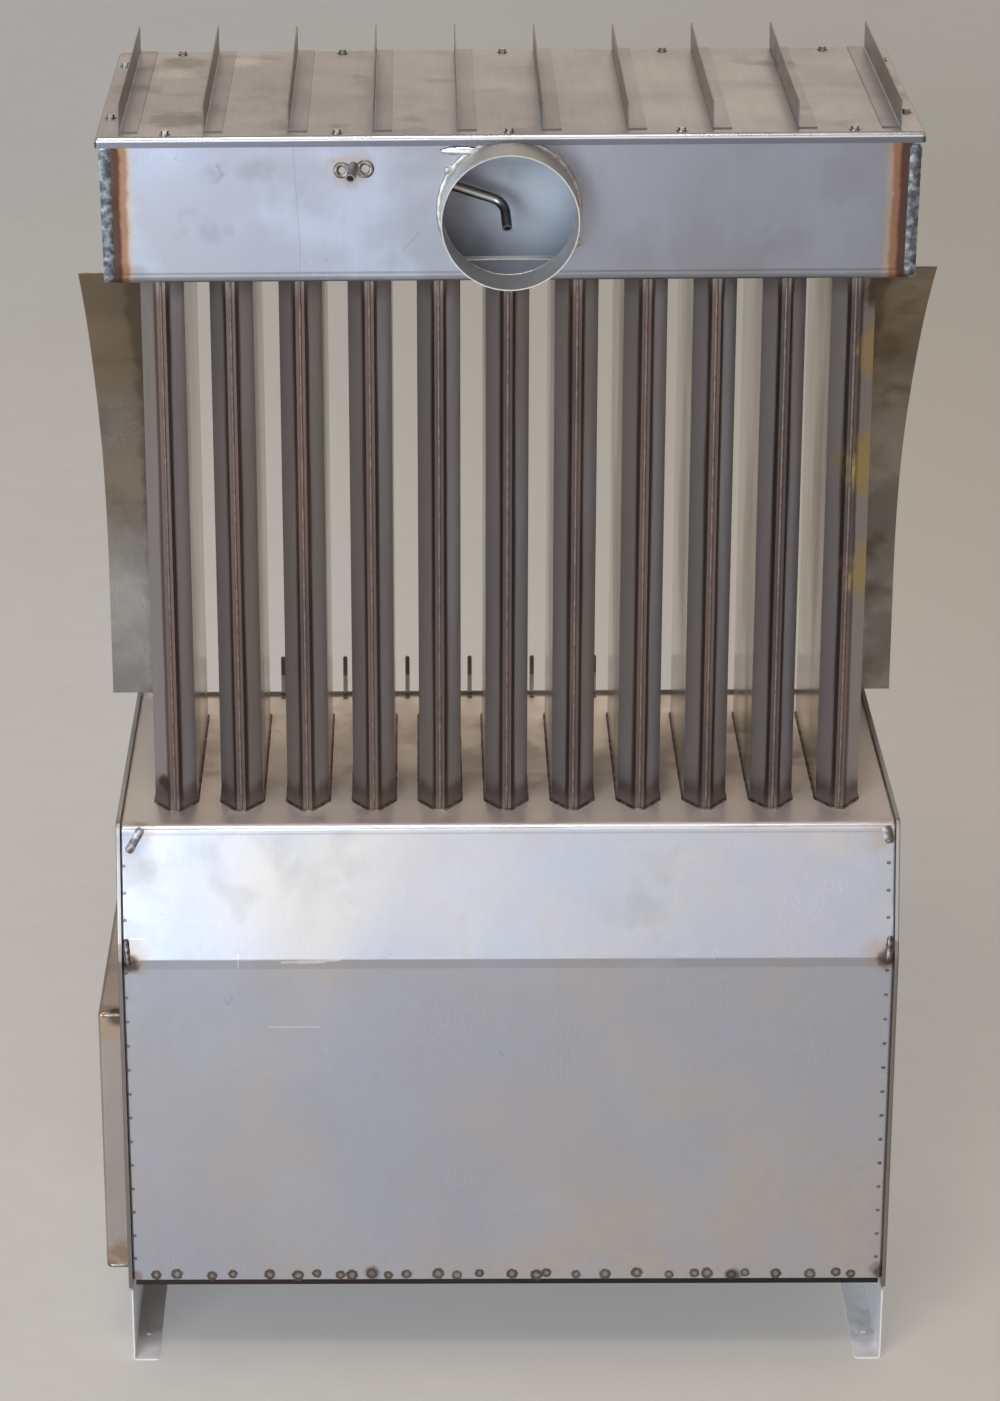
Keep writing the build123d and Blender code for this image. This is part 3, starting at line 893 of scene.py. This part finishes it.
CHAMBER_FINISH = SheetFinish(
    name="chamber_sheet",
    tone=(0.56, 0.585, 0.68),
    cloud=(0.62, 0.575, 0.555),
    roughness=0.36,
    patchy=1.0,
    patch_level=0.82,
    streaky=0.2,
    smudges=0.5,
    marks=(
        # Painted light on the top plate, a painted highlight along the upper bend and a thin painted shade line under
        # it.
        Band((0.96, 0.87, 0.82), 1.0, 0.22, low=0.5772, high=0.6, soft=0.0008, wander=0.1),
        Band(GLINT, 0.8, 0.0, low=0.5734, high=0.5764, soft=0.001, wander=0.2),
        Band((0.30, 0.31, 0.36), 0.5, 0.0, low=0.569, high=0.5698, soft=0.0008, wander=0.2),
        # Painted shade along the lower bend.
        Band((0.36, 0.37, 0.42), 0.45, 0.0, low=0.4375, high=0.4462, soft=0.001, wander=0.3),
        Spot(BLUE_HEAT, 0.4, 0.0, centre=on_skin(-0.364, 0.566), reach=0.022),
        Spot(STRAW_HEAT, 0.4, 0.0, centre=on_skin(-0.356, 0.572), reach=0.018),
        Spot(STRAW_HEAT, 0.4, 0.0, centre=on_skin(0.366, 0.566), reach=0.022),
        Spot(STRAW_HEAT, 0.5, 0.0, centre=(-0.368, SHEET_LOW.y, 0.449), reach=0.024),
        Spot(DARK_HEAT_AND_SHADE, 0.85, 0.05, centre=on_skin(-0.3715, 0.4435), reach=0.014),
        Spot(STRAW_HEAT, 0.5, 0.0, centre=(0.368, SHEET_LOW.y, 0.449), reach=0.024),
        Spot(DARK_HEAT_AND_SHADE, 0.85, 0.05, centre=on_skin(0.3715, 0.4455), reach=0.014),
        Spot(DARK_HEAT_AND_SHADE, 0.8, 0.1, centre=on_skin(0.376, 0.099), reach=0.013),
        Spot(BROWN_HEAT, 0.6, 0.1, centre=on_skin(-0.377, 0.093), reach=0.012),
        Spot(DARK_HEAT_AND_SHADE, 0.75, 0.1, centre=on_skin(-0.1357, 0.0975), reach=0.011),
        Spot(DARK_HEAT_AND_SHADE, 0.8, 0.1, centre=on_skin(0.2284, 0.093), reach=0.012),
        Scratch(GLINT, 0.9, -0.1, start=(-0.2215, 0.444), end=(-0.165, 0.4464), width=0.0018),
        Scratch(GLINT, 0.8, -0.1, start=(-0.205, 0.443), end=(-0.18, 0.4442), width=0.0014),
        Scratch(GLINT, 0.7, -0.1, start=(-0.2364, 0.374), end=(-0.185, 0.3738), width=0.001),
        Scratch(GLINT, 0.6, -0.1, start=(-0.2645, 0.4524), end=(-0.2647, 0.4384), width=0.001),
        Scratch(GLINT, 0.7, -0.1, start=(-0.37, 0.468), end=(-0.355, 0.468), width=0.001),
        Scratch(STAIN, 0.6, 0.1, start=(-0.279, 0.404), end=(-0.275, 0.399), width=0.0016),
        Scratch(STAIN, 0.6, 0.1, start=(-0.271, 0.406), end=(-0.275, 0.399), width=0.0016),
        Scratch(STAIN, 0.6, 0.1, start=(-0.008, 0.346), end=(-0.003, 0.341), width=0.0018),
    ),
)
SIDE_FINISH = SheetFinish(
    name="side_sheet",
    tone=(0.52, 0.50, 0.49),
    cloud=(0.46, 0.44, 0.42),
    roughness=0.38,
    marks=(
        # Painted shade on the side panels' edges in front of the front sheet, in the groove beside it.
        Band((0.22, 0.19, 0.17), 0.8, 0.0, low=-0.2, high=SHEET_LOW.y - 0.0004, axis=1, soft=0.0006, wander=0.2),
        # Painted light on the legs and their foot flanges, which lie in the box's shade.
        Band((0.92, 0.92, 0.96), 1.0, 0.3, low=0.0036, high=0.078, soft=0.006),
        Band((0.95, 0.93, 0.93), 1.0, 0.36, low=-0.01, high=0.0026, soft=0.0006, wander=0.1),
    ),
)
# Painted shade: the floor pan's flange is made near black because it lies in shade under the box.
FLOOR_PAN_SHADE_FINISH = SheetFinish(
    name="floor_pan_painted_shade", tone=(0.060, 0.050, 0.046), cloud=(0.045, 0.038, 0.036), roughness=0.5, grain=Grain.ACROSS
)
PORT_FINISH = SheetFinish(
    name="port_sheet",
    tone=(0.52, 0.48, 0.45),
    cloud=(0.44, 0.39, 0.35),
    roughness=0.38,
    patchy=0.6,
    smudges=0.9,
    marks=(
        Spot(STRAW_HEAT, 0.6, 0.0, centre=(PORT_LOW.x + 0.012, PORT_LOW.y, PORT_HIGH.z - 0.012), reach=0.026),
        Spot(DARK_HEAT_AND_SHADE, 0.8, 0.1, centre=(PORT_LOW.x + 0.018, PORT_LOW.y, PORT_HIGH.z - 0.004), reach=0.014),
        Spot(BROWN_HEAT, 0.6, 0.1, centre=(PORT_LOW.x + 0.016, PORT_LOW.y, PORT_LOW.z + 0.018), reach=0.020),
        Spot(BROWN_HEAT, 0.7, 0.1, centre=(PORT_LOW.x + 0.004, PORT_LOW.y, PORT_LOW.z + 0.003), reach=0.012),
    ),
)
WING_FINISH = SheetFinish(
    name="wing_sheet",
    tone=(0.36, 0.34, 0.32),
    cloud=(0.31, 0.26, 0.20),
    roughness=0.36,
    patchy=1.4,
    patch_level=0.5,
    smudges=1.2,
    wave_depth=0.006,
    marks=(
        # Browner and darker towards the top: partly heat colour, partly painted shadow of the header.
        Band((0.30, 0.23, 0.14), 0.6, 0.0, low=1.0, high=1.2, soft=0.08),
        Band(DARK_HEAT_AND_SHADE, 0.5, 0.05, low=0.34, high=0.362, axis=0, soft=0.01),
    ),
)
TAB_FINISH = SheetFinish(
    name="tab_sheet",
    tone=(0.44, 0.41, 0.34),
    cloud=(0.38, 0.35, 0.29),
    roughness=0.5,
    # Painted highlight on the tabs' lower part.
    marks=(Band((0.97, 0.95, 0.90), 0.9, -0.1, low=0.583, high=0.6, soft=0.003),),
)
BAFFLE_FINISH = SheetFinish(
    name="baffle_sheet",
    tone=(0.41, 0.44, 0.51),
    cloud=(0.37, 0.40, 0.46),
    roughness=0.56,
    patchy=0.2,
    grain=Grain.ACROSS,
    marks=(
        # Painted light on the baffle's bottom flange and a painted highlight along its bend.
        Band((0.70, 0.73, 0.80), 0.9, 0.0, low=1.12, high=1.1297, soft=0.0004, wander=0.1),
        Band((0.99, 0.99, 0.99), 1.0, -0.3, low=1.1301, high=1.134, soft=0.0004, wander=0.1),
    ),
)
COLLAR_FINISH = SheetFinish(
    name="collar_pipe",
    tone=(0.64, 0.62, 0.60),
    cloud=(0.57, 0.55, 0.53),
    roughness=0.56,
    grain=Grain.DEEP,
    wave_depth=0.0008,
)
TUBE_FINISH = SheetFinish(
    name="drawn_tube", tone=(0.52, 0.52, 0.55), cloud=(0.38, 0.37, 0.38), roughness=0.36, wave_depth=0.0003
)
SCREW_FINISH = SheetFinish(
    name="screw_steel", tone=(0.56, 0.54, 0.52), cloud=(0.42, 0.40, 0.38), roughness=0.32, wave_depth=0.0002
)
CELL_FINISH = CellFinish(
    name="cell_sheet",
    tone=(0.43, 0.40, 0.41),
    warm=(0.40, 0.36, 0.34),
    dark=(0.060, 0.042, 0.040),
    burnt=(0.130, 0.075, 0.055),
    marks=(
        Spot(DARK_HEAT_AND_SHADE, 0.9, 0.0, centre=(-0.338, -0.112, 0.604), reach=0.013),
        *(
            Spot(tone, share, 0.0, centre=(0.344, -0.095, z), reach=reach)
            for tone, share, z, reach in (
                (GOLD_HEAT, 0.6, 1.04, 0.035),
                (GOLD_HEAT, 0.7, 0.93, 0.045),
                (GOLD_HEAT, 0.7, 0.82, 0.040),
                (DARK_HEAT_AND_SHADE, 0.8, 1.10, 0.030),
            )
        ),
    ),
)
SEAM_FINISH = WeldFinish("seam_weld", ((0.18, 0.13, 0.115), (0.21, 0.16, 0.14), (0.25, 0.195, 0.175)), 0.56, 0.00005)
CORNER_FINISH = WeldFinish("corner_weld", ((0.08, 0.082, 0.09), (0.14, 0.145, 0.16), (0.27, 0.29, 0.32)), 0.5)
BEND_FINISH = WeldFinish("bend_weld", ((0.10, 0.07, 0.06), (0.21, 0.18, 0.18), (0.34, 0.34, 0.38)), 0.42)
COLLAR_WELD_FINISH = WeldFinish("collar_weld", ((0.36, 0.34, 0.33), (0.47, 0.45, 0.43), (0.56, 0.54, 0.52)), 0.46)
TUBE_WELD_FINISH = WeldFinish("tube_weld", ((0.15, 0.125, 0.11), (0.25, 0.22, 0.20), (0.38, 0.35, 0.33)), 0.42)
PORT_WELD_FINISH = WeldFinish("port_weld", ((0.22, 0.16, 0.12), (0.36, 0.30, 0.26), (0.50, 0.46, 0.43)), 0.42)
# Near-white metal for the patch that gives a painted highlight.
GLINT_PATCH_FINISH = WeldFinish("glint_patch_metal", ((0.88, 0.88, 0.90), (0.93, 0.93, 0.95), (0.97, 0.97, 0.98)), 0.3)
FOOT_FINISH = WeldFinish("foot_weld", ((0.13, 0.095, 0.08), (0.22, 0.17, 0.145), (0.34, 0.29, 0.26)), 0.5)
PRINT_FINISH = SpotWeldFinish("spot_weld", (0.40, 0.36, 0.33), (0.15, 0.115, 0.095), 0.55)
TICK_FINISH = SpotWeldFinish("edge_weld", (0.20, 0.19, 0.19), (0.18, 0.16, 0.16), 0.6)


@dataclass
class Header:
    """The header box, its lid with fins and screws, and its corner welds."""

    corner_width: float = 0.0112
    corner_thick: float = 0.0011
    corner_lean: float = 0.0018
    corner_lumps: float = 0.0013
    corner_gaps: tuple[float, float] = (0.004, 0.011)
    fins: int = 10

    def build(self) -> None:
        """Dress the header's sheets and weld its corners."""
        dress(HEADER_FINISH.material(), "header_pan", "header_end_left", "header_end_right")
        dress(LID_FINISH.material(), "header_lid")
        dress(FIN_FINISH.material(), *[f"lid_fin_{i:02d}" for i in range(1, self.fins + 1)])
        dress(SCREW_FINISH.material(), "lid_screws")
        weld = CORNER_FINISH.material()
        half = self.corner_width / 2
        low, high = PAN_LOW.z + self.corner_gaps[0], PAN_HIGH.z - self.corner_gaps[1]
        for side, label in ((-1, "left"), (1, "right")):
            x = side * (END_HIGH.x - half)
            outer = x + side * self.corner_lean
            piece = bead((x, BEND_Y, low), (outer, BEND_Y, high), half, self.corner_thick, self.corner_lumps)
            settle(piece, f"header_corner_weld_{label}", weld)


@dataclass
class FlueFittings:
    """The flue collar, the baffle behind it and the sensing tube, with their welds and a near-white patch that gives a
    painted highlight.
    """

    ring: tuple[float, float] = (0.0030, 0.0012)
    tacks: tuple[tuple[float, float], ...] = ((-0.0536, 1.2300), (0.0423, 1.2405), (0.0610, 1.1620))
    tack_size: Place = (0.013, 0.010, 0.0014)
    # A near-white metal patch under the lid lip that stands in for a highlight: painted highlight.
    glint_patch: Place = (-0.0435, BEND_Y, 1.2490)
    glint_patch_size: Place = (0.042, 0.0086, 0.0034)
    tube_welds: tuple[tuple[float, float, float], ...] = ((-0.1537, 1.2313, 0.0055), (-0.1325, 1.2325, 0.0062))
    tube_ring: tuple[float, float] = (0.0024, 0.0013)

    def build(self) -> None:
        """Dress the fittings and weld them on."""
        dress(COLLAR_FINISH.material(), "flue_collar")
        dress(BAFFLE_FINISH.material(), "flue_baffle")
        dress(TUBE_FINISH.material(), "sensing_tube")
        weld = COLLAR_WELD_FINISH.material()
        piece = weld_ring((0, BEND_Y, COLLAR_Z), COLLAR_RADIUS + 0.001, *self.ring)
        settle(piece, "collar_weld", weld)
        for number, (x, z) in enumerate(self.tacks, start=1):
            piece = puddle((x, BEND_Y, z), *self.tack_size)
            settle(piece, f"collar_tack_{number}", weld)
        # The near-white patch under the lid lip: painted highlight.
        piece = puddle(self.glint_patch, *self.glint_patch_size)
        settle(piece, "collar_spill", GLINT_PATCH_FINISH.material())
        weld = TUBE_WELD_FINISH.material()
        for number, (x, z, radius) in enumerate(self.tube_welds, start=1):
            piece = weld_ring((x, BEND_Y, z), radius, *self.tube_ring)
            settle(piece, f"tube_weld_{number}", weld)


@dataclass
class CellBank:
    """The eleven cells with their seam welds and the welds round both ends."""

    seam_half: float = 0.0014
    seam_thick: float = 0.0009
    end_radius: float = 0.0019
    nose_half: float = 0.0042
    side_half: float = 0.0205
    nose_depth: float = 0.024
    seam_lumps: float = 0.0004
    end_lumps: float = 0.0009

    def build(self) -> None:
        """Dress the cells and weld them."""
        numbers = range(1, CELL_COUNT + 1)
        dress(CELL_FINISH.material(), *[f"cell_{i:02d}_{side}" for i in numbers for side in ("left", "right")])
        seam_weld, foot_weld = SEAM_FINISH.material(), FOOT_FINISH.material()
        ring = self.end_ring()
        seam = bead((0, 0, SHEET_HIGH.z), (0, 0, PAN_LOW.z), self.seam_half, self.seam_thick, self.seam_lumps)
        for number in numbers:
            x = (number - (CELL_COUNT + 1) / 2) * CELL_PITCH
            for y, label in ((CELL_LOW.y, "front"), (CELL_HIGH.y, "rear")):
                piece = copy_of(seam, Matrix.Translation((x, y, 0)))
                settle(piece, f"cell_{number:02d}_{label}_seam", seam_weld)
            for z, label in ((SHEET_HIGH.z, "foot"), (PAN_LOW.z, "head")):
                piece = copy_of(ring, Matrix.Translation((x, 0, z)))
                settle(piece, f"cell_{number:02d}_{label}_weld", foot_weld)
        bpy.data.objects.remove(ring)
        bpy.data.objects.remove(seam)

    def end_ring(self) -> Shape:
        """Model the weld round a cell's end at X = 0 and Z = 0.

        Returns:
            The weld, not yet placed.
        """
        clear_selection()
        length = CELL_HIGH.y - CELL_LOW.y
        middle = (CELL_LOW.y + CELL_HIGH.y) / 2
        bpy.ops.mesh.primitive_plane_add(size=1.0, location=(0, middle, 0))
        piece = bpy.context.object
        piece.scale = (2 * self.side_half, length - 2 * self.nose_depth, 1)
        bpy.ops.object.transform_apply(location=True, rotation=True, scale=True)
        bpy.ops.object.mode_set(mode="EDIT")
        for sign in (-1, 1):
            edge_y = middle + sign * (length / 2 - self.nose_depth)
            pick(piece, "EDGE", lambda a, b: abs(a.y - edge_y) < 1e-5 and abs(b.y - edge_y) < 1e-5)
            bpy.ops.mesh.extrude_region_move(TRANSFORM_OT_translate={"value": (0, sign * self.nose_depth, 0)})
            bpy.ops.transform.resize(value=(self.nose_half / self.side_half, 1, 1))
        bpy.ops.mesh.select_all(action="SELECT")
        bpy.ops.mesh.dissolve_limited(angle_limit=math.radians(2))
        bpy.ops.mesh.delete(type="ONLY_FACE")
        for longest, cuts in ((0.1, 40), (0.008, 7)):
            pick(piece, "EDGE", lambda a, b: (a - b).length > longest)
            bpy.ops.mesh.subdivide(number_cuts=cuts)
        bpy.ops.object.mode_set(mode="OBJECT")
        bpy.ops.object.convert(target="CURVE")
        piece = bpy.context.object
        piece.data.bevel_depth = self.end_radius
        piece.data.bevel_resolution = 1
        bpy.ops.object.convert(target="MESH")
        piece = bpy.context.object
        roughen(piece, self.end_lumps)
        return piece


@dataclass
class Chamber:
    """The lower box, its legs, and its spot welds and corner welds."""

    row_z: float = 0.0965
    row: tuple[float, ...] = (
        -0.3545, -0.3335, -0.2981, -0.2770, -0.2396, -0.2110, -0.1919, -0.1681, -0.1565, -0.1362,
        -0.1197, -0.1011, -0.0692, -0.0501, -0.0275, 0.0054, 0.0302, 0.0402, 0.0701, 0.0995,
        0.1314, 0.1640, 0.1897, 0.2025, 0.2266, 0.2407, 0.2716, 0.3061, 0.3323, 0.3472,
    )  # fmt: skip
    print_radius: float = 0.0062
    print_proud: float = 0.0001
    edge_step: float = 0.0265
    edge_radius: float = 0.0019
    edge_insets: tuple[float, float] = (0.003, 0.0065)

    def build(self) -> None:
        """Dress the box and weld it."""
        dress(CHAMBER_FINISH.material(), "chamber_front_sheet")
        dress(SIDE_FINISH.material(), "side_panel_left", "side_panel_right", "chamber_rear_panel")
        # The floor pan gets a near-black finish of painted shade.
        dress(FLOOR_PAN_SHADE_FINISH.material(), "chamber_floor")
        dress(TAB_FINISH.material(), "rear_tabs")
        self.print_row()
        self.print_edges()
        self.weld_bends(BEND_FINISH.material())

    def print_row(self) -> None:
        """Row of spot welds along the front panel's lower edge."""
        disc = print_disc(self.print_radius, 0.00012)
        turn = Matrix.Rotation(math.radians(90), 4, "X")
        prints = []
        for index, x in enumerate(self.row):
            place = on_skin(x, self.row_z + 0.0012 * math.sin(index * 2.3), self.print_proud)
            size = 1.0 + 0.14 * math.sin(index * 1.7)
            prints.append(copy_of(disc, Matrix.Translation(place) @ turn @ Matrix.Scale(size, 4)))
        bpy.data.objects.remove(disc)
        settle(joined(prints), "front_spot_welds", PRINT_FINISH.material())

    def print_edges(self) -> None:
        """Small dark welds down both edges of the slope and the front panel."""
        disc = print_disc(self.edge_radius, 0.0001)
        stretch = Matrix.Diagonal((1.3, 1.0, 1.0, 1.0))
        lean = math.atan2(BEND_Y - SHEET_LOW.y, SHEET_HIGH.z - SLOPE_BOTTOM_Z)
        prints = []
        for side, inset in zip((-1, 1), self.edge_insets):
            z = SHEET_LOW.z + 0.024
            while z < SHEET_HIGH.z - 0.03:
                if abs(z - SLOPE_BOTTOM_Z) > 0.012:
                    turn = Matrix.Rotation(math.radians(90) - (lean if z > SLOPE_BOTTOM_Z else 0.0), 4, "X")
                    place = on_skin(side * (SHEET_HIGH.x - inset), z, self.print_proud)
                    prints.append(copy_of(disc, Matrix.Translation(place) @ turn @ stretch))
                z += self.edge_step
        bpy.data.objects.remove(disc)
        settle(joined(prints), "edge_spot_welds", TICK_FINISH.material())

    def weld_bends(self, weld: Material) -> None:
        """Beads where both bends meet the side panels.

        Args:
            weld: Their finish.
        """
        rise, run = SHEET_HIGH.z - SLOPE_BOTTOM_Z, BEND_Y - SHEET_LOW.y
        leaning = (0.0, -rise, run)
        for label, high, low, half_width, half_thick, facing in (
            ("upper_left", (-0.3575, 0.5755), (-0.3710, 0.552), 0.0044, 0.0014, leaning),
            ("upper_right", (0.3690, 0.5745), (0.3735, 0.558), 0.0052, 0.0011, leaning),
            ("lower_left", (-0.3745, 0.4680), (-0.3725, 0.440), 0.0032, 0.0020, FRONT),
            ("lower_right", (0.3745, 0.4680), (0.3725, 0.440), 0.0032, 0.0020, FRONT),
        ):
            piece = bead(on_skin(*high), on_skin(*low), half_width, half_thick, facing=facing)
            settle(piece, f"bend_weld_{label}", weld)


@dataclass
class BurnerPort:
    """The frame on the left side."""

    weld_size: tuple[float, float] = (0.0024, 0.0018)
    weld_inset: Place = (0.004, 0.001, 0.0035)
    weld_end_gap: float = 0.002

    def build(self) -> None:
        """Dress the frame and weld it on."""
        dress(PORT_FINISH.material(), "burner_port_frame")
        weld = PORT_WELD_FINISH.material()
        in_x, in_y, in_z = self.weld_inset
        for z, label in ((PORT_HIGH.z - in_z, "upper"), (PORT_LOW.z + in_z, "lower")):
            start = (PORT_LOW.x + in_x, PORT_LOW.y + in_y, z)
            piece = bead(start, (PORT_HIGH.x - self.weld_end_gap, PORT_LOW.y + in_y, z), *self.weld_size)
            settle(piece, f"port_weld_{label}", weld)


@dataclass
class Wings:
    """The two curved side wings."""

    def build(self) -> None:
        """Dress the wings."""
        dress(WING_FINISH.material(), "wing_left", "wing_right")


@dataclass(frozen=True)
class Lamp:
    """A soft rectangular lamp that the camera doesn't see."""

    name: str
    place: Place
    aim: Place
    size: tuple[float, float]
    power: float
    tone: Tone

    def build(self) -> None:
        """Add the lamp."""
        data = bpy.data.lights.new(self.name, "AREA")
        data.shape = "RECTANGLE"
        data.size, data.size_y = self.size
        data.energy = self.power
        data.color = self.tone
        lamp = bpy.data.objects.new(self.name, data)
        lamp.location = self.place
        lamp.rotation_euler = (Vector(self.aim) - Vector(self.place)).to_track_quat("-Z", "Y").to_euler()
        lamp.visible_camera = False
        bpy.context.collection.objects.link(lamp)


@dataclass
class Studio:
    """Floor, soft light and camera."""

    # Floor tones from left to right: a painted light falloff.
    floor_left: Tone = (0.62, 0.57, 0.50)
    floor_right: Tone = (0.53, 0.44, 0.31)
    # Warm tone of a painted shadow on the floor behind on the right.
    floor_warm_shadow: Tone = (0.42, 0.32, 0.12)
    floor_glow: Tone = (0.186, 0.192, 0.212)
    left_glow: Tone = (0.32, 0.31, 0.28)
    right_glow: Tone = (0.31, 0.29, 0.26)
    lamps: tuple[Lamp, ...] = (
        Lamp("top_lamp", (-0.3, -1.5, 3.6), (0, 0, 0.5), (0.9, 0.9), 25.0, (1.0, 0.91, 0.90)),
        Lamp("left_lamp", (-2.6, -5.2, 1.5), (0, 0, 0.7), (3.0, 2.4), 182.0, (0.79, 0.92, 1.0)),
        Lamp("right_lamp", (1.2, -5.3, 1.4), (0, 0, 0.7), (3.0, 2.2), 14.0, (1.0, 0.94, 0.96)),
        Lamp("low_lamp", (-1.1, -4.9, 0.65), (-1.1, -4.9, 0.0), (0.9, 0.9), 48.0, (0.66, 0.71, 1.0)),
        Lamp("rear_lamp", (0.2, 3.2, 2.6), (0, 0, 0.9), (3.0, 1.2), 9.0, (1.0, 0.80, 0.62)),
    )
    lens: float = 4205.5 * 36.0 / 1000.0
    shift: tuple[float, float] = (0.1469, 0.0257)
    eye: Place = (-0.0822, -3.9373, 2.1844)
    yaw: float = 1.019
    pitch: float = 21.685
    roll: float = -0.662

    def build(self) -> None:
        """Set the stage."""
        self.lay_floor()
        self.light_world()
        for lamp in self.lamps:
            lamp.build()
        self.aim_camera()
        bpy.context.scene.view_settings.view_transform = "Standard"

    def lay_floor(self) -> None:
        """A pale floor with a painted light falloff that makes it darker and warmer to the right, a painted warm shadow
        behind on the right, a faint unevenness and a faint glow.
        """
        clear_selection()
        bpy.ops.mesh.primitive_plane_add(size=60.0, location=(0, 0, 0))
        floor = bpy.context.object
        floor.name = "floor"
        made, graph = new_graph("pale_floor")
        mottle = graph.noise(1.1, 3.0) * 0.6 + graph.noise(18, 4.0) * 0.4
        # Painted light falloff: the floor darkens towards the right.
        colour = graph.mix(graph.axes()[0].ease(-0.9, 1.1), self.floor_left, self.floor_right)
        # Painted shadow: a warm patch on the floor behind on the right.
        warm = 1.0 - graph.distance(graph.place(), (1.6, 3.6, 0.0)).ease(0.6, 3.0)
        colour = graph.mix(warm * 0.85, colour, self.floor_warm_shadow)
        colour = graph.mix(mottle.ease(0.3, 0.7) * 0.25, colour, dimmed(self.floor_right, 0.75))
        ray = graph.node("ShaderNodeLightPath").outputs
        camera, glossy, through = (Value(graph, ray[f"Is {kind} Ray"]) for kind in ("Camera", "Glossy", "Transmission"))
        glow = graph.mix(camera.most(glossy).most(through), (0.0, 0.0, 0.0), self.floor_glow)
        inputs = {"Base Color": colour, "Roughness": 0.7, "Emission Color": glow, "Emission Strength": 1.0}
        shader = graph.node("ShaderNodeBsdfPrincipled", inputs=inputs)
        graph.node("ShaderNodeOutputMaterial", inputs={"Surface": shader.outputs[0]})
        floor.data.materials.append(made)

    def light_world(self) -> None:
        """A plain pale surrounding, duller on the right."""
        world = bpy.data.worlds.new("surrounding")
        world.use_nodes = True
        bpy.context.scene.world = world
        graph = Graph(world.node_tree)
        way = graph.node("ShaderNodeTexCoord").outputs["Generated"]
        across = Value(graph, graph.node("ShaderNodeSeparateXYZ", inputs={0: way}).outputs[0])
        colour = graph.mix(across.ease(-0.8, 0.9), self.left_glow, self.right_glow)
        glow = graph.node("ShaderNodeBackground", inputs={"Color": colour, "Strength": 1.0})
        graph.node("ShaderNodeOutputWorld", inputs={"Surface": glow.outputs[0]})

    def aim_camera(self) -> None:
        """The camera at the photograph's viewing angle."""
        data = bpy.data.cameras.new("camera")
        data.sensor_fit = "HORIZONTAL"
        data.sensor_width = 36.0
        data.lens = self.lens
        data.shift_x, data.shift_y = self.shift
        data.clip_end = 100.0
        camera = bpy.data.objects.new("camera", data)
        turn = Matrix.Rotation(math.radians(self.yaw), 4, "Z")
        tilt = Matrix.Rotation(math.radians(90.0 - self.pitch), 4, "X")
        roll = Matrix.Rotation(math.radians(self.roll), 4, "Z")
        camera.matrix_world = Matrix.Translation(self.eye) @ turn @ tilt @ roll
        bpy.context.collection.objects.link(camera)
        bpy.context.scene.camera = camera


def main() -> None:
    """Build and dress the whole part."""
    logging.basicConfig(level=logging.INFO, format="%(message)s")
    for assembly in (Header(), FlueFittings(), CellBank(), Chamber(), BurnerPort(), Wings(), Studio()):
        LOG.info("building %s", type(assembly).__name__)
        assembly.build()


if __name__ == "__main__":
    main()
